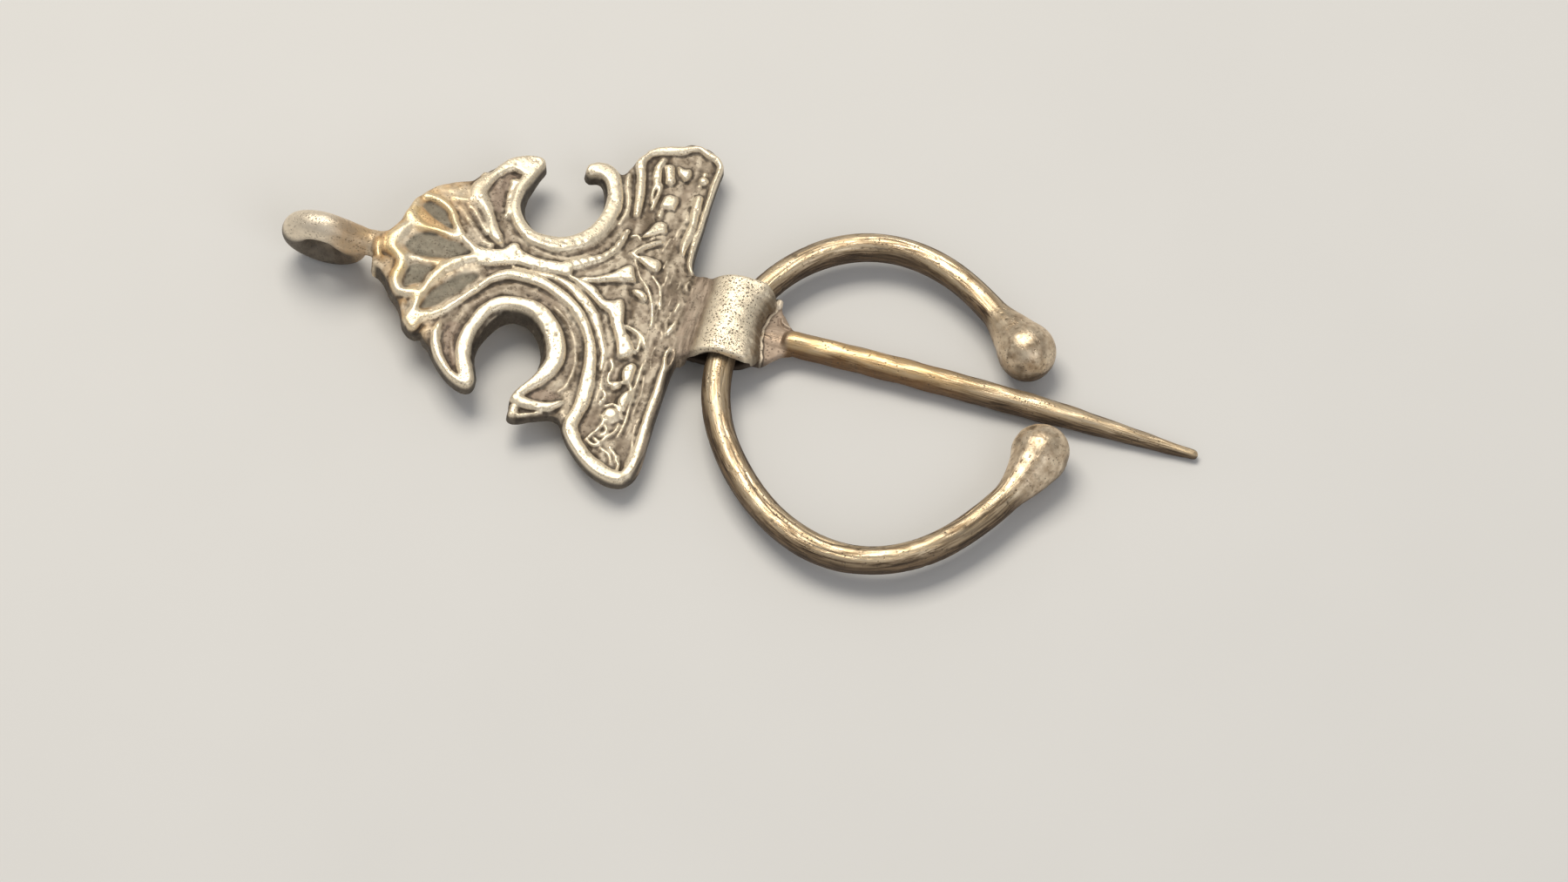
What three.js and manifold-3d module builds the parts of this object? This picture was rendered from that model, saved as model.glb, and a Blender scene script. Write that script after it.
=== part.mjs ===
// Penannular fibula brooch in cast silver: an openwork leaf plate with a suspension loop and a strap,
// a pin soldered under the strap, and an open hoop with two ball ends that turns in the strap.
// Millimetres, +Z up, +X from the loop to the pin's point. The brooch lies on the plane z = 0.
import * as THREE from 'three';
import { mergeVertices } from 'three/addons/utils/BufferGeometryUtils.js';
import Module from 'manifold-3d';

// ---------- driving dimensions ----------
const WIRE_R = 0.92;            // hoop wire radius
const HOOP_Z = 1.90;            // height of the hoop's centreline while it lies
const HOOP_C = [40.8, -3.3];    // middle of the hoop in plan
const HOOP_R = 10.99;           // mean centreline radius
const HOOP_BEND = [             // what hand bending did to the circle: [order, amount, phase in degrees]
  [1, 0.32, 170], [2, 0.69, -131], [3, 0.32, 31.5], [4, 0.27, 41.4]];
const HOOP_END_UP = 38;         // direction of the far ball from the middle, degrees
const HOOP_END_LOW = -5.6;      // direction of the near ball
const BALL_R = 1.88;
const BALL_NECK = 3.0;          // length over which the wire swells into a ball

const PITCH = 3.5;              // the head lies with its loop end raised, degrees
const SEAT_X = 30.0;            // where the head's own height is stated
const SEAT_Z = 0.90;            // height of the plate's back at SEAT_X

const SLAB = 1.15;              // plate thickness in its ground
const LEAF_C = [12.8, -0.15];   // middle of the palmette
const LEAF_R = 5.95;            // palmette radius
const LEAF_LOBE = 0.22;         // depth of the scallops round it
const LEAF_LOBES = 13;          // scallops per full turn

const EYE = { x: 16.75, y: 5.35, r: 2.35 };     // the two open crescents, at +y and -y
const MOUTH = { x0: 15.2, x1: 17.85 };          // where each crescent opens outwards
const HORN = { x: 15.45, y: 4.6, r: 4.55 };     // outer round of the narrow-side horns

const LOOP = { x: 2.93, y: -0.54, R: 1.90, r: 0.92, lean: 13 }; // suspension loop; lean in degrees
const STRAP = { y0: -3.05, y1: 2.95, t: 0.70 };
const BORE_R = 1.22;            // free round space for the wire inside the strap
const FOOT_T = 0.50;            // thickness of the pin's flat foot
const PIN = { x0: 33.1, x1: 60.95, y0: 0.20, y1: -1.02, r: 0.82, tip: 0.30 };

// ---------- helpers ----------
const wasm = await Module();
wasm.setup();
const rad = THREE.MathUtils.degToRad;
const smooth = (t) => { t = Math.min(1, Math.max(0, t)); return t * t * (3 - 2 * t); };

function bare(geometry) {       // positions only, shared vertices merged
  const g = geometry.index ? geometry.clone() : mergeVertices(geometry);
  for (const k of Object.keys(g.attributes)) if (k !== 'position') g.deleteAttribute(k);
  return mergeVertices(g, 1e-5);
}
function solid(geometry) {
  const g = bare(geometry);
  return new wasm.Manifold(new wasm.Mesh({
    numProp: 3,
    vertProperties: Float32Array.from(g.attributes.position.array),
    triVerts: Uint32Array.from(g.index.array),
  }));
}
function geometryOf(body) {
  const m = body.getMesh();
  const g = new THREE.BufferGeometry();
  const n = m.vertProperties.length / m.numProp;
  const p = new Float32Array(n * 3);
  for (let i = 0; i < n; i++) for (let k = 0; k < 3; k++) p[3 * i + k] = m.vertProperties[i * m.numProp + k];
  g.setAttribute('position', new THREE.BufferAttribute(p, 3));
  g.setIndex(new THREE.BufferAttribute(Uint32Array.from(m.triVerts), 1));
  g.computeVertexNormals();
  return g;
}
// A bar that follows a curve: a cylinder whose rings are laid along it. across(u) and high(u) are half sizes.
function bar(curve, steps, sides, across, high = across) {
  const g = new THREE.CylinderGeometry(1, 1, 1, sides, steps);
  const p = g.attributes.position;
  const up = new THREE.Vector3(0, 0, 1);
  for (let i = 0; i < p.count; i++) {
    const u = Math.min(1, Math.max(0, p.getY(i) + 0.5));
    const c = curve.getPoint(u);
    const t = curve.getTangent(u).normalize();
    const n = new THREE.Vector3().crossVectors(t, up).normalize();
    const b = new THREE.Vector3().crossVectors(n, t).normalize();
    const q = c.clone().addScaledVector(n, p.getX(i) * across(u)).addScaledVector(b, p.getZ(i) * high(u));
    p.setXYZ(i, q.x, q.y, q.z);
  }
  return g;
}
const line = (pts, z) => new THREE.CatmullRomCurve3(pts.map(([x, y]) => new THREE.Vector3(x, y, z)), false, 'centripetal');
// A rounded rib on the plate's face through plan points; w and h are half width and height, fading at the ends.
function rib(pts, w, h, steps = 12, z = SLAB, endW = 0.35) {
  const fade = (u) => endW + (1 - endW) * smooth(Math.min(u, 1 - u) * 5);
  return solid(bar(line(pts, z), steps, 8, (u) => w * fade(u), (u) => h * (0.45 + 0.55 * fade(u))));
}
function plate(shape, depth, z = 0, curveSegments = 10) {
  const g = new THREE.ExtrudeGeometry(shape, { depth, bevelEnabled: false, curveSegments });
  g.translate(0, 0, z);
  return solid(g);
}
// A strip bent in the XZ plane: its middle line, its thickness, and its two ends in y.
function strip(mid, t, y0, y1, steps = 18) {
  const c = new THREE.SplineCurve(mid.map(([x, z]) => new THREE.Vector2(x, z)));
  const over = [], under = [];
  for (let i = 0; i <= steps; i++) {
    const p = c.getPoint(i / steps), d = c.getTangent(i / steps);
    over.push(new THREE.Vector2(p.x - d.y * t / 2, p.y + d.x * t / 2));
    under.push(new THREE.Vector2(p.x + d.y * t / 2, p.y - d.x * t / 2));
  }
  const shape = new THREE.Shape(over.concat(under.reverse()));
  const g = new THREE.ExtrudeGeometry(shape, { depth: y1 - y0, bevelEnabled: false });
  g.rotateX(Math.PI / 2);       // profile x,y -> x,z and depth -> -y
  g.translate(0, y1, 0);
  return solid(g);
}
const ring = (cx, cy, r, a0, a1, n = 7) => Array.from({ length: n }, (_, i) => {
  const a = rad(a0 + (a1 - a0) * i / (n - 1));
  return [cx + r * Math.cos(a), cy + r * Math.sin(a)];
});
const both = (f) => [f(1), f(-1)];
const join = (list) => list.reduce((a, b) => a.add(b));

// ---------- hoop ----------
class Hoop extends THREE.Curve {
  at(deg) {
    let r = HOOP_R;
    for (const [k, a, ph] of HOOP_BEND) r += a * Math.cos(rad(k * deg - ph));
    return new THREE.Vector3(HOOP_C[0] + r * Math.cos(rad(deg)), HOOP_C[1] + r * Math.sin(rad(deg)), HOOP_Z);
  }
  getPoint(u) { return this.at(HOOP_END_UP + (360 + HOOP_END_LOW - HOOP_END_UP) * u); }
}
const hoopCurve = new Hoop();
const hoopLength = hoopCurve.getLength();
const swell = (u) => {
  const s = Math.min(u, 1 - u) * hoopLength;
  return WIRE_R + (BALL_R * 0.86 - WIRE_R) * (1 - smooth(s / BALL_NECK));
};
const ball = (u) => {
  const g = new THREE.SphereGeometry(BALL_R, 16, 11);
  g.rotateX(Math.PI / 2);
  const c = hoopCurve.getPoint(u);
  g.translate(c.x, c.y, HOOP_Z);
  return solid(g);
};
const hoopBody = join([solid(bar(hoopCurve, 52, 10, swell)), ball(0), ball(1)]);

// The straight line that the wire turns about inside the strap.
const AXIS_A = new THREE.Vector3(29.81, STRAP.y0, HOOP_Z);
const AXIS_B = new THREE.Vector3(30.95, STRAP.y1, HOOP_Z);

// ---------- head, in its own level frame: the plate's back is z = 0 ----------
const headFrame = new THREE.Group();
headFrame.position.set(SEAT_X, 0, SEAT_Z);
headFrame.rotation.y = rad(PITCH);
headFrame.updateMatrixWorld(true);
const toHead = headFrame.matrixWorld.clone().invert();
const inHead = (v) => { const q = v.clone().applyMatrix4(toHead); q.x += SEAT_X; return q; };

const boreA = inHead(AXIS_A), boreB = inHead(AXIS_B);
const boreDir = boreB.clone().sub(boreA).normalize();
const bore = solid(bar(new THREE.LineCurve3(boreA.clone().addScaledVector(boreDir, -3), boreB.clone().addScaledVector(boreDir, 3)),
  1, 24, () => BORE_R));

// outline of the palmette: a disc with scallops
const leaf = new THREE.Shape(Array.from({ length: 104 }, (_, i) => {
  const a = 2 * Math.PI * i / 104;
  const r = LEAF_R + LEAF_LOBE * (Math.abs(Math.cos(LEAF_LOBES * a / 2)) * 2 - 1);
  return new THREE.Vector2(LEAF_C[0] + r * Math.cos(a), LEAF_C[1] + r * Math.sin(a));
}));

// outline of the two wings and the field between the crescents; the wide edge leans a little
const WING = {
  up: { notch: [20.15, 9.7], shoulder: [21.2, 12.05], crown: [24.2, 13.3], corner: [26.35, 11.9] },
  low: { notch: [20.8, -9.4], shoulder: [22.2, -11.1], crown: [25.6, -13.2], corner: [27.05, -12.2] },
};
const wings = new THREE.Shape();
wings.moveTo(14.5, -2.9);
wings.lineTo(19.3, -4.0);
wings.lineTo(...WING.low.notch);
wings.quadraticCurveTo(21.3, -10.2, ...WING.low.shoulder);
wings.quadraticCurveTo(23.6, -12.7, ...WING.low.crown);
wings.quadraticCurveTo(26.8, -13.6, ...WING.low.corner);
wings.lineTo(27.1, -3.6);
wings.lineTo(26.5, 3.6);
wings.lineTo(...WING.up.corner);
wings.quadraticCurveTo(25.7, 12.9, ...WING.up.crown);
wings.lineTo(...WING.up.shoulder);
wings.quadraticCurveTo(20.5, 11.1, ...WING.up.notch);
wings.lineTo(19.3, 4.0);
wings.lineTo(14.5, 2.9);

const eyes = both((s) => {
  const hole = new THREE.Shape();
  hole.absarc(EYE.x, s * EYE.y, EYE.r, 0, 2 * Math.PI, false);
  const mouth = new THREE.Shape();
  const y0 = s * (EYE.y + 1.2), y1 = s * 14;
  mouth.moveTo(MOUTH.x0 - 0.55, y0);
  mouth.lineTo(MOUTH.x0, s * 8.0); mouth.lineTo(MOUTH.x0 + 0.1, y1);
  mouth.lineTo(MOUTH.x1 - 0.1, y1); mouth.lineTo(MOUTH.x1, s * 8.9); mouth.lineTo(MOUTH.x1 + 0.6, y0);
  return plate(hole, 6, -2, 20).add(plate(mouth, 6, -2));
});
const horns = both((s) => {
  const round = new THREE.Shape();
  round.absarc(HORN.x, s * HORN.y, HORN.r, 0, 2 * Math.PI, false);
  const keep = new THREE.Shape([new THREE.Vector2(9, s * 1), new THREE.Vector2(16, s * 1),
    new THREE.Vector2(16, s * 12), new THREE.Vector2(9, s * 12)]);
  return plate(round, SLAB, 0, 26).intersect(plate(keep, 4, -1));
});
// the wide-side horns: the upper curls in, the lower ends in a short broken foot
const hookUp = [[19.9, 5.0], [19.9, 7.4], [19.4, 9.1], [18.2, 9.5]];
const hookLow = [[19.8, -5.0], [19.5, -7.6], [18.7, -9.2], [18.1, -10.0]];
const slabRib = (pts, w, z1) => {           // a flat-sided bar as thick as the ground
  const c = line(pts, 0), n = 12, a = [], b = [];
  for (let i = 0; i <= n; i++) {
    const p = c.getPoint(i / n), t = c.getTangent(i / n);
    a.push(new THREE.Vector2(p.x - t.y * w, p.y + t.x * w));
    b.push(new THREE.Vector2(p.x + t.y * w, p.y - t.x * w));
  }
  return plate(new THREE.Shape(a.concat(b.reverse())), z1, 0);
};
const webLow = new THREE.Shape([new THREE.Vector2(18.0, -8.9), new THREE.Vector2(20.9, -8.0),
  new THREE.Vector2(20.9, -9.45), new THREE.Vector2(18.6, -10.0)]);

let ground = join([plate(leaf, SLAB), plate(wings, SLAB, 0, 6), ...horns,
  slabRib(hookUp, 0.62, SLAB), slabRib(hookLow, 0.6, SLAB), plate(webLow, SLAB)]);
const ribs = [];
// rim round each crescent, tallest where it is nearest the axis
both((s) => {
  ribs.push(rib([[15.0, s * 8.75], ...ring(EYE.x, s * EYE.y, 2.98, s * 142, s * 270, 6),
    ...ring(EYE.x, s * EYE.y, 3.12, s * 300, s * 385, 4)].concat(s > 0 ? [[19.75, 8.3], [19.1, 9.5], [18.1, 9.5]]
    : [[19.5, -7.7], [18.5, -8.9]]), 0.56, 0.72, 26));
});
// second ridge: from the horn round the crescent, then down the wing as its border
ribs.push(rib([[14.6, 8.6], [12.7, 8.0], [11.9, 6.6], [12.4, 4.8], [13.4, 2.9], [14.4, 1.6]], 0.42, 0.55, 14));
ribs.push(rib([[14.6, -8.9], [12.9, -8.1], [12.1, -6.4], [12.3, -4.4], [13.3, -2.6], [14.9, -1.3], [16.8, -0.9],
  [18.8, -1.3], [20.6, -2.8], [21.8, -5.2], [22.3, -7.8], [22.2, -9.9], [23.2, -11.5], [25.2, -12.6], [26.4, -12.5]], 0.42, 0.55, 32));
ribs.push(rib([[18.4, 1.0], [20.4, 1.9], [21.5, 3.6], [21.8, 6.0], [21.8, 8.4], [21.3, 10.6], [21.6, 11.8], [23.0, 12.45],
  [24.4, 12.75], [25.7, 12.1]], 0.42, 0.5, 24));
ribs.push(rib([[26.0, 12.0], [25.9, 9.0], [25.95, 5.5], [26.2, 3.4]], 0.30, 0.5, 8));
ribs.push(rib([[26.65, -12.3], [26.7, -9.0], [26.7, -5.5], [26.7, -3.4]], 0.32, 0.5, 8));
ribs.push(rib([[25.0, 10.8], [25.0, 7.5], [25.1, 4.6]], 0.26, 0.42, 8));
// stem and its fork
ribs.push(rib([[11.6, 0.1], [13.2, 0.3], [15.5, 0.55], [18.2, 0.6]], 0.95, 0.85, 10));
ribs.push(rib([[17.6, 0.6], [19.6, 1.3], [21.6, 2.3], [23.0, 2.6]], 0.55, 0.6, 8));
ribs.push(rib([[17.6, 0.5], [19.8, 0.2], [21.8, -0.9], [23.2, -2.8], [23.8, -4.6]], 0.6, 0.6, 10));
// palmette: ribs between the sunk petals, and a raised rim with lobes
const spokes = [[172, 1.0], [140, 0.9], [205, 0.95], [238, 0.95], [118, 0.9]];
for (const [a, k] of spokes) {
  const r0 = 1.2, r1 = LEAF_R - 0.7;
  const mid = (r0 + r1) / 2, bow = (a - 180) * 0.012;
  ribs.push(rib([0, 0.5, 1].map((u) => {
    const r = r0 + (r1 - r0) * u;
    return [LEAF_C[0] + r * Math.cos(rad(a)) + bow * 0.5 * Math.sin(Math.PI * u) * Math.sin(rad(a)),
      LEAF_C[1] + r * Math.sin(rad(a)) - bow * 0.5 * Math.sin(Math.PI * u) * Math.cos(rad(a))];
  }), 0.33, 0.5 * k, 6));
}
ribs.push(rib(ring(LEAF_C[0], LEAF_C[1], LEAF_R - 0.45, 122, 250, 12), 0.36, 0.5, 20));
// small raised tesserae along the wings
const studs = [[23.55, 8.2, 0.5], [23.6, 10.6, 0.42], [23.3, 5.8, 0.45], [24.5, -5.2, 0.4], [24.8, -7.1, 0.4], [24.3, -8.6, 0.42], [24.6, -10.6, 0.4]];
for (const [x, y, w] of studs) {
  const s = new THREE.Shape([[-w, -w], [w, -w * 0.8], [w * 0.9, w], [-w * 0.8, w]].map(([a, b]) => new THREE.Vector2(x + a, y + b)));
  ribs.push(plate(s, 0.35 + 0.3, SLAB - 0.3));
}

// suspension loop: a round ring that stands across the plate, and its short neck
const loopGeo = new THREE.TorusGeometry(LOOP.R, LOOP.r, 10, 26);
loopGeo.rotateX(Math.PI / 2);                 // its plane becomes XZ
loopGeo.rotateX(rad(LOOP.lean));              // the top leans to -y
const loopLow = LOOP.R * Math.cos(rad(LOOP.lean)) + LOOP.r;
const loopAt = new THREE.Vector3(LOOP.x, LOOP.y, loopLow);   // lying: its underside meets z = 0
const loopC = inHead(loopAt);
loopGeo.translate(loopC.x, loopC.y, loopC.z);
const neck = bar(new THREE.CatmullRomCurve3([
  new THREE.Vector3(loopC.x + LOOP.R, loopC.y, loopC.z + 0.1), new THREE.Vector3(6.1, -0.45, 0.55),
  new THREE.Vector3(7.4, -0.3, 0.7), new THREE.Vector3(8.6, -0.2, 0.7)]), 6, 10,
(u) => 0.86 + 0.5 * smooth(u * 1.2 - 0.2), (u) => 0.9 - 0.22 * smooth(u * 1.3));

// strap: a strip that leaves the wide edge, humps over the wire and comes down beyond it
const strapMid = [[26.0, 0.75], [27.1, 0.82], [27.9, 1.25], [28.6, 1.9], [29.5, 2.32], [30.5, 2.34], [31.2, 2.02], [31.62, 1.45], [31.75, 1.0]];
const strap = strip(strapMid, STRAP.t, STRAP.y0, STRAP.y1, 18);

// nothing of the plate or loop reaches under the back
let head = ground;
for (const e of eyes) head = head.subtract(e);
head = head.add(join(ribs));
const rimCut = eyes.map((e) => e);
for (const e of rimCut) head = head.subtract(e);
const below = new THREE.BoxGeometry(60, 60, 4);
below.translate(22, 0, -2);
const belowBody = solid(below);
head = head.add(strap).add(solid(neck)).subtract(belowBody);
head = head.add(solid(loopGeo)).subtract(bore);

// ---------- pin: the wire and its flat foot ----------
const pinTipZ = PIN.tip + 0.08;
const footMid = [[27.5, -0.36], [29.2, -0.36], [30.4, -0.38], [31.2, -0.26], [31.85, 0.12], [32.5, 0.42], [33.9, 0.5]];
const footStrip = strip(footMid, FOOT_T, -2.75, 2.75, 16);
const footPlan = new THREE.Shape();
footPlan.moveTo(27.4, -2.5); footPlan.lineTo(32.35, -2.6);
footPlan.quadraticCurveTo(32.9, -1.1, 34.2, -0.45);
footPlan.lineTo(34.2, 0.75);
footPlan.quadraticCurveTo(32.9, 1.3, 32.3, 2.6);
footPlan.lineTo(27.4, 2.5);
let foot = footStrip.intersect(plate(footPlan, 6, -3, 8));
const pinStart = inHead(new THREE.Vector3(PIN.x0, PIN.y0, 1.25));
const pinEnd = inHead(new THREE.Vector3(PIN.x1, PIN.y1, pinTipZ));
const pinKink = inHead(new THREE.Vector3(50.5, -0.42, 0.86));
const pinCurve = new THREE.CatmullRomCurve3([pinStart, inHead(new THREE.Vector3(41, -0.02, 1.13)), pinKink, pinEnd]);
const pinR = (u) => {
  if (u < 0.06) return PIN.r * (0.55 + 0.45 * smooth(u / 0.06));
  if (u < 0.62) return PIN.r * (1 + 0.03 * Math.sin(Math.PI * u / 0.62));
  return PIN.r + (PIN.tip - PIN.r) * ((u - 0.62) / 0.38) ** 1.15;
};
const pinWire = solid(bar(pinCurve, 24, 10, pinR));
let pinBody = foot.subtract(bore).add(pinWire);

// ---------- scene graph ----------
const silver = (c, r) => new THREE.MeshStandardMaterial({ color: c, roughness: r, metalness: 1 });
const fibula = new THREE.Group();
const headGroup = new THREE.Group();
headGroup.position.copy(headFrame.position);
headGroup.rotation.copy(headFrame.rotation);

function named(name, body, material, dx = 0) {
  const g = geometryOf(body);
  g.translate(dx, 0, 0);
  const m = new THREE.Mesh(g, material);
  m.name = name;
  return m;
}
headGroup.add(named('head_plate', head, silver(0xb7ab97, 0.42), -SEAT_X));
headGroup.add(named('pin', pinBody, silver(0xa8946f, 0.36), -SEAT_X));
fibula.add(headGroup);
fibula.add(named('hoop', hoopBody, silver(0xa8946f, 0.36)));

// the origin is under the middle of the brooch
fibula.updateMatrixWorld(true);
const box = new THREE.Box3().setFromObject(fibula, true);
const shift = new THREE.Vector3(-(box.min.x + box.max.x) / 2, -(box.min.y + box.max.y) / 2, -box.min.z);
fibula.position.copy(shift);
export default fibula;
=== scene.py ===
# Fibula brooch in cast and drawn silver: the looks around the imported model.
import math

import bpy
import numpy as np
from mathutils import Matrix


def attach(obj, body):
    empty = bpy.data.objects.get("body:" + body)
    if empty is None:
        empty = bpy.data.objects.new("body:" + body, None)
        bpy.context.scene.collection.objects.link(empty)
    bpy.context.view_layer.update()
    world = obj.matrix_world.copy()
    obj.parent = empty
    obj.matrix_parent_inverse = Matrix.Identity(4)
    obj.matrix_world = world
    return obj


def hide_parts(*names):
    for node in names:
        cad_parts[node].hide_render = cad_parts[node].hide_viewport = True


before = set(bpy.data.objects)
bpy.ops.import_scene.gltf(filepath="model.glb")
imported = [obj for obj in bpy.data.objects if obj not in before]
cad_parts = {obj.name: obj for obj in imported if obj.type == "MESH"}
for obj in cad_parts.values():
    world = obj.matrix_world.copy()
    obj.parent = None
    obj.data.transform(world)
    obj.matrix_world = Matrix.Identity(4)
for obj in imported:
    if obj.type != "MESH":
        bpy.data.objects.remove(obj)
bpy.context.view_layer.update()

# ------------------------------------------------------------------ frames, in millimetres
SHIFT = np.array([-30.54324, 1.30959, -0.02000])    # working frame -> row frame
PITCH = math.radians(3.5)
CP, SP = math.cos(PITCH), math.sin(PITCH)
SEAT_X, SEAT_Z = 30.0, 0.90


def row_from_head(p):
    """Plate-local millimetres (the plate's back is z = 0) to metres in the row frame."""
    x, z = p[:, 0] - SEAT_X, p[:, 2]
    q = np.stack([SEAT_X + x * CP + z * SP, p[:, 1], SEAT_Z - x * SP + z * CP], 1)
    return (q + SHIFT) * 0.001


def head_from_work(x, y, z):
    return SEAT_X + (x - SEAT_X) * CP - (z - SEAT_Z) * SP, y, (x - SEAT_X) * SP + (z - SEAT_Z) * CP


def crest_at(x, y):
    """Height of the tall ridges above the plate's back: the plate thins towards its tips."""
    t = np.clip((np.abs(y) - 2.0) / 11.0, 0, 1)
    return 1.87 - 0.78 * t * (2 - t)


# Strokes are stated on the oblique plan z = 2 and brought down to the crest of the relief here.
SX, SY = 0.166, 0.628


def plan(pts, over=0.0):
    p = np.array(pts, float).reshape(-1, 2)
    x, y = p[:, 0].copy(), p[:, 1].copy()
    for _ in range(6):
        zc = crest_at(x, y) + over
        z = SEAT_Z - (x - SEAT_X) * SP + zc * CP
        xw, yw = p[:, 0] + SX * (z - 2), p[:, 1] - SY * (z - 2)
        x, y = SEAT_X + (xw - SEAT_X) * CP - (z - SEAT_Z) * SP, yw
    return np.stack([x, y], 1)


def spline(p, step=0.12, closed=False, extra=None):
    """Centripetal-like Catmull-Rom through p; extra is carried along."""
    p = np.asarray(p, float)
    e = None if extra is None else np.asarray(extra, float)
    n = len(p)
    segs = n if closed else n - 1
    out, oe = [], []
    for i in range(segs):
        if closed:
            a, b, c, d = p[(i - 1) % n], p[i], p[(i + 1) % n], p[(i + 2) % n]
        else:
            b, c = p[i], p[i + 1]
            a = p[i - 1] if i else 2 * b - c
            d = p[i + 2] if i + 2 < n else 2 * c - b
        k = max(2, int(math.ceil(np.linalg.norm(c - b) / step)))
        t = np.arange(k)[:, None] / k
        out.append(0.5 * (2 * b + (c - a) * t + (2 * a - 5 * b + 4 * c - d) * t ** 2 + (3 * b - a - 3 * c + d) * t ** 3))
        if e is not None:
            oe.append(e[i] + (e[(i + 1) % n] - e[i]) * t[:, 0])
    if not closed:
        out.append(p[-1:])
        if e is not None:
            oe.append(e[-1:])
    q = np.concatenate(out)
    return (q, np.concatenate(oe)) if e is not None else q


# ------------------------------------------------------------------ plan grid
G = 0.05
X0, X1, Y0, Y1 = -0.6, 34.0, -14.6, 14.2
gx = np.arange(X0, X1 + G / 2, G)
gy = np.arange(Y0, Y1 + G / 2, G)
NX, NY = len(gx), len(gy)
GX, GY = np.meshgrid(gx, gy, indexing="ij")


def value_noise(cell, seed, stretch=(1.0, 1.0), xs=None, ys=None):
    """Smooth noise in -1..1 over the plan grid, with the given cell in millimetres."""
    xs = gx if xs is None else xs
    ys = gy if ys is None else ys
    rs = np.random.RandomState(seed)
    u = (xs - xs[0]) / (cell * stretch[0])
    v = (ys - ys[0]) / (cell * stretch[1])
    lat = rs.uniform(-1, 1, (int(u[-1]) + 4, int(v[-1]) + 4))
    iu, iv = u.astype(int), v.astype(int)
    fu, fv = u - iu, v - iv

    def w(f):
        return np.stack([(1 - f) ** 3 / 6, (3 * f ** 3 - 6 * f ** 2 + 4) / 6,
                         (-3 * f ** 3 + 3 * f ** 2 + 3 * f + 1) / 6, f ** 3 / 6])
    wu, wv = w(fu), w(fv)
    rows = sum(wu[k][:, None] * lat[iu + k] for k in range(4))
    return 1.9 * sum(wv[k][None, :] * rows[:, iv + k] for k in range(4))


WX = 0.05 * value_noise(1.3, 3) + 0.025 * value_noise(0.5, 4)
WY = 0.05 * value_noise(1.3, 5) + 0.025 * value_noise(0.5, 6)
UX, UY = GX + WX, GY + WY         # the hand-cut wobble: strokes are looked up at warped places


def seg_distance(px, py, q, extra=None):
    """Distance to the polyline q; extra (per point) is read at the nearest place."""
    best = np.full(px.shape, 1e9)
    ex = None if extra is None else np.zeros(px.shape)
    for i in range(len(q) - 1):
        ax, ay = q[i]
        dx, dy = q[i + 1] - q[i]
        L = dx * dx + dy * dy + 1e-12
        t = np.clip(((px - ax) * dx + (py - ay) * dy) / L, 0, 1)
        d = (px - ax - t * dx) ** 2 + (py - ay - t * dy) ** 2
        m = d < best
        best = np.where(m, d, best)
        if ex is not None:
            ex = np.where(m, extra[i] + t * (extra[i + 1] - extra[i]), ex)
    return (np.sqrt(best), ex) if ex is not None else np.sqrt(best)


def inside(px, py, q):
    r = np.zeros(px.shape, bool)
    n = len(q)
    for i in range(n):
        (x1, y1), (x2, y2) = q[i], q[(i + 1) % n]
        if y1 == y2:
            continue
        c = ((y1 > py) != (y2 > py)) & (px < (x2 - x1) * (py - y1) / (y2 - y1) + x1)
        r ^= c
    return r


def window(q, pad):
    lo, hi = q.min(0) - pad, q.max(0) + pad
    i0, i1 = max(0, int((lo[0] - X0) / G)), min(NX, int((hi[0] - X0) / G) + 2)
    j0, j1 = max(0, int((lo[1] - Y0) / G)), min(NY, int((hi[1] - Y0) / G) + 2)
    return slice(i0, i1), slice(j0, j1)


def smax(a, b, k=0.06):
    return np.maximum(a, b) + np.maximum(k - np.abs(a - b), 0) ** 2 / (4 * k)


def ease(t):
    t = np.clip(t, 0, 1)
    return t * t * (3 - 2 * t)


def blur(A, mm):
    """Box blur, three times, which is close to a Gaussian of that size."""
    r = max(1, int(round(mm / G)))
    for _ in range(3):
        for ax in (0, 1):
            P = np.concatenate([np.repeat(A.take([0], ax), r + 1, ax), A, np.repeat(A.take([-1], ax), r, ax)], ax)
            c = np.cumsum(P, ax)
            n = A.shape[ax]
            A = (c.take(np.arange(2 * r + 1, 2 * r + 1 + n), ax) - c.take(np.arange(n), ax)) / (2 * r + 1)
    return A


up = np.zeros((NX, NY))        # relief above the field
cut = np.zeros((NX, NY))       # grooves beside the ridges
GROOVE = 0.14
GROW = 0.06
WIDER, LOWER = 1.30, 0.64      # worn relief: broad and low


def ridge(pts, w, h, g=GROOVE, power=2.8):
    q = plan(pts)
    w = np.full(len(q), w, float) if np.isscalar(w) else np.array(w, float)
    w = w * (WIDER + 0.22 * ease((w - 0.16) / 0.14)) + 0.02
    q, ww = spline(q, 0.14, extra=w)
    s = window(q, ww.max() + 0.5)
    d, e = seg_distance(UX[s], UY[s], q, ww)
    r = np.clip(d / e, 0, 1)
    k = np.clip(power + 5.0 * (e - 0.3), 2.2, 4.5)
    prof = 1 - r ** k
    up[s] = smax(up[s], LOWER * h * prof, 0.05)
    if g:
        cut[s] = np.maximum(cut[s], g * np.exp(-((d - e - 0.02) / 0.085) ** 2) * (d > e - 0.06))


def raised(pts, h, g=0.19, soft=0.24, smooth=True):
    q = plan(pts)
    q = spline(q, 0.2, closed=True) if smooth else q
    s = window(q, 0.5)
    d = seg_distance(UX[s], UY[s], np.vstack([q, q[:1]]))
    d = np.where(inside(UX[s], UY[s], q), d, -d) + GROW
    ins = d > 0
    up[s] = smax(up[s], LOWER * h * np.sqrt(np.clip(1 - (1 - np.clip(d / soft, 0, 1)) ** 2, 0, 1)) * ins, 0.04)
    if g:
        cut[s] = np.maximum(cut[s], np.where(ins, 0, g * np.exp(-((d + 0.07) / 0.085) ** 2)))


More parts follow.
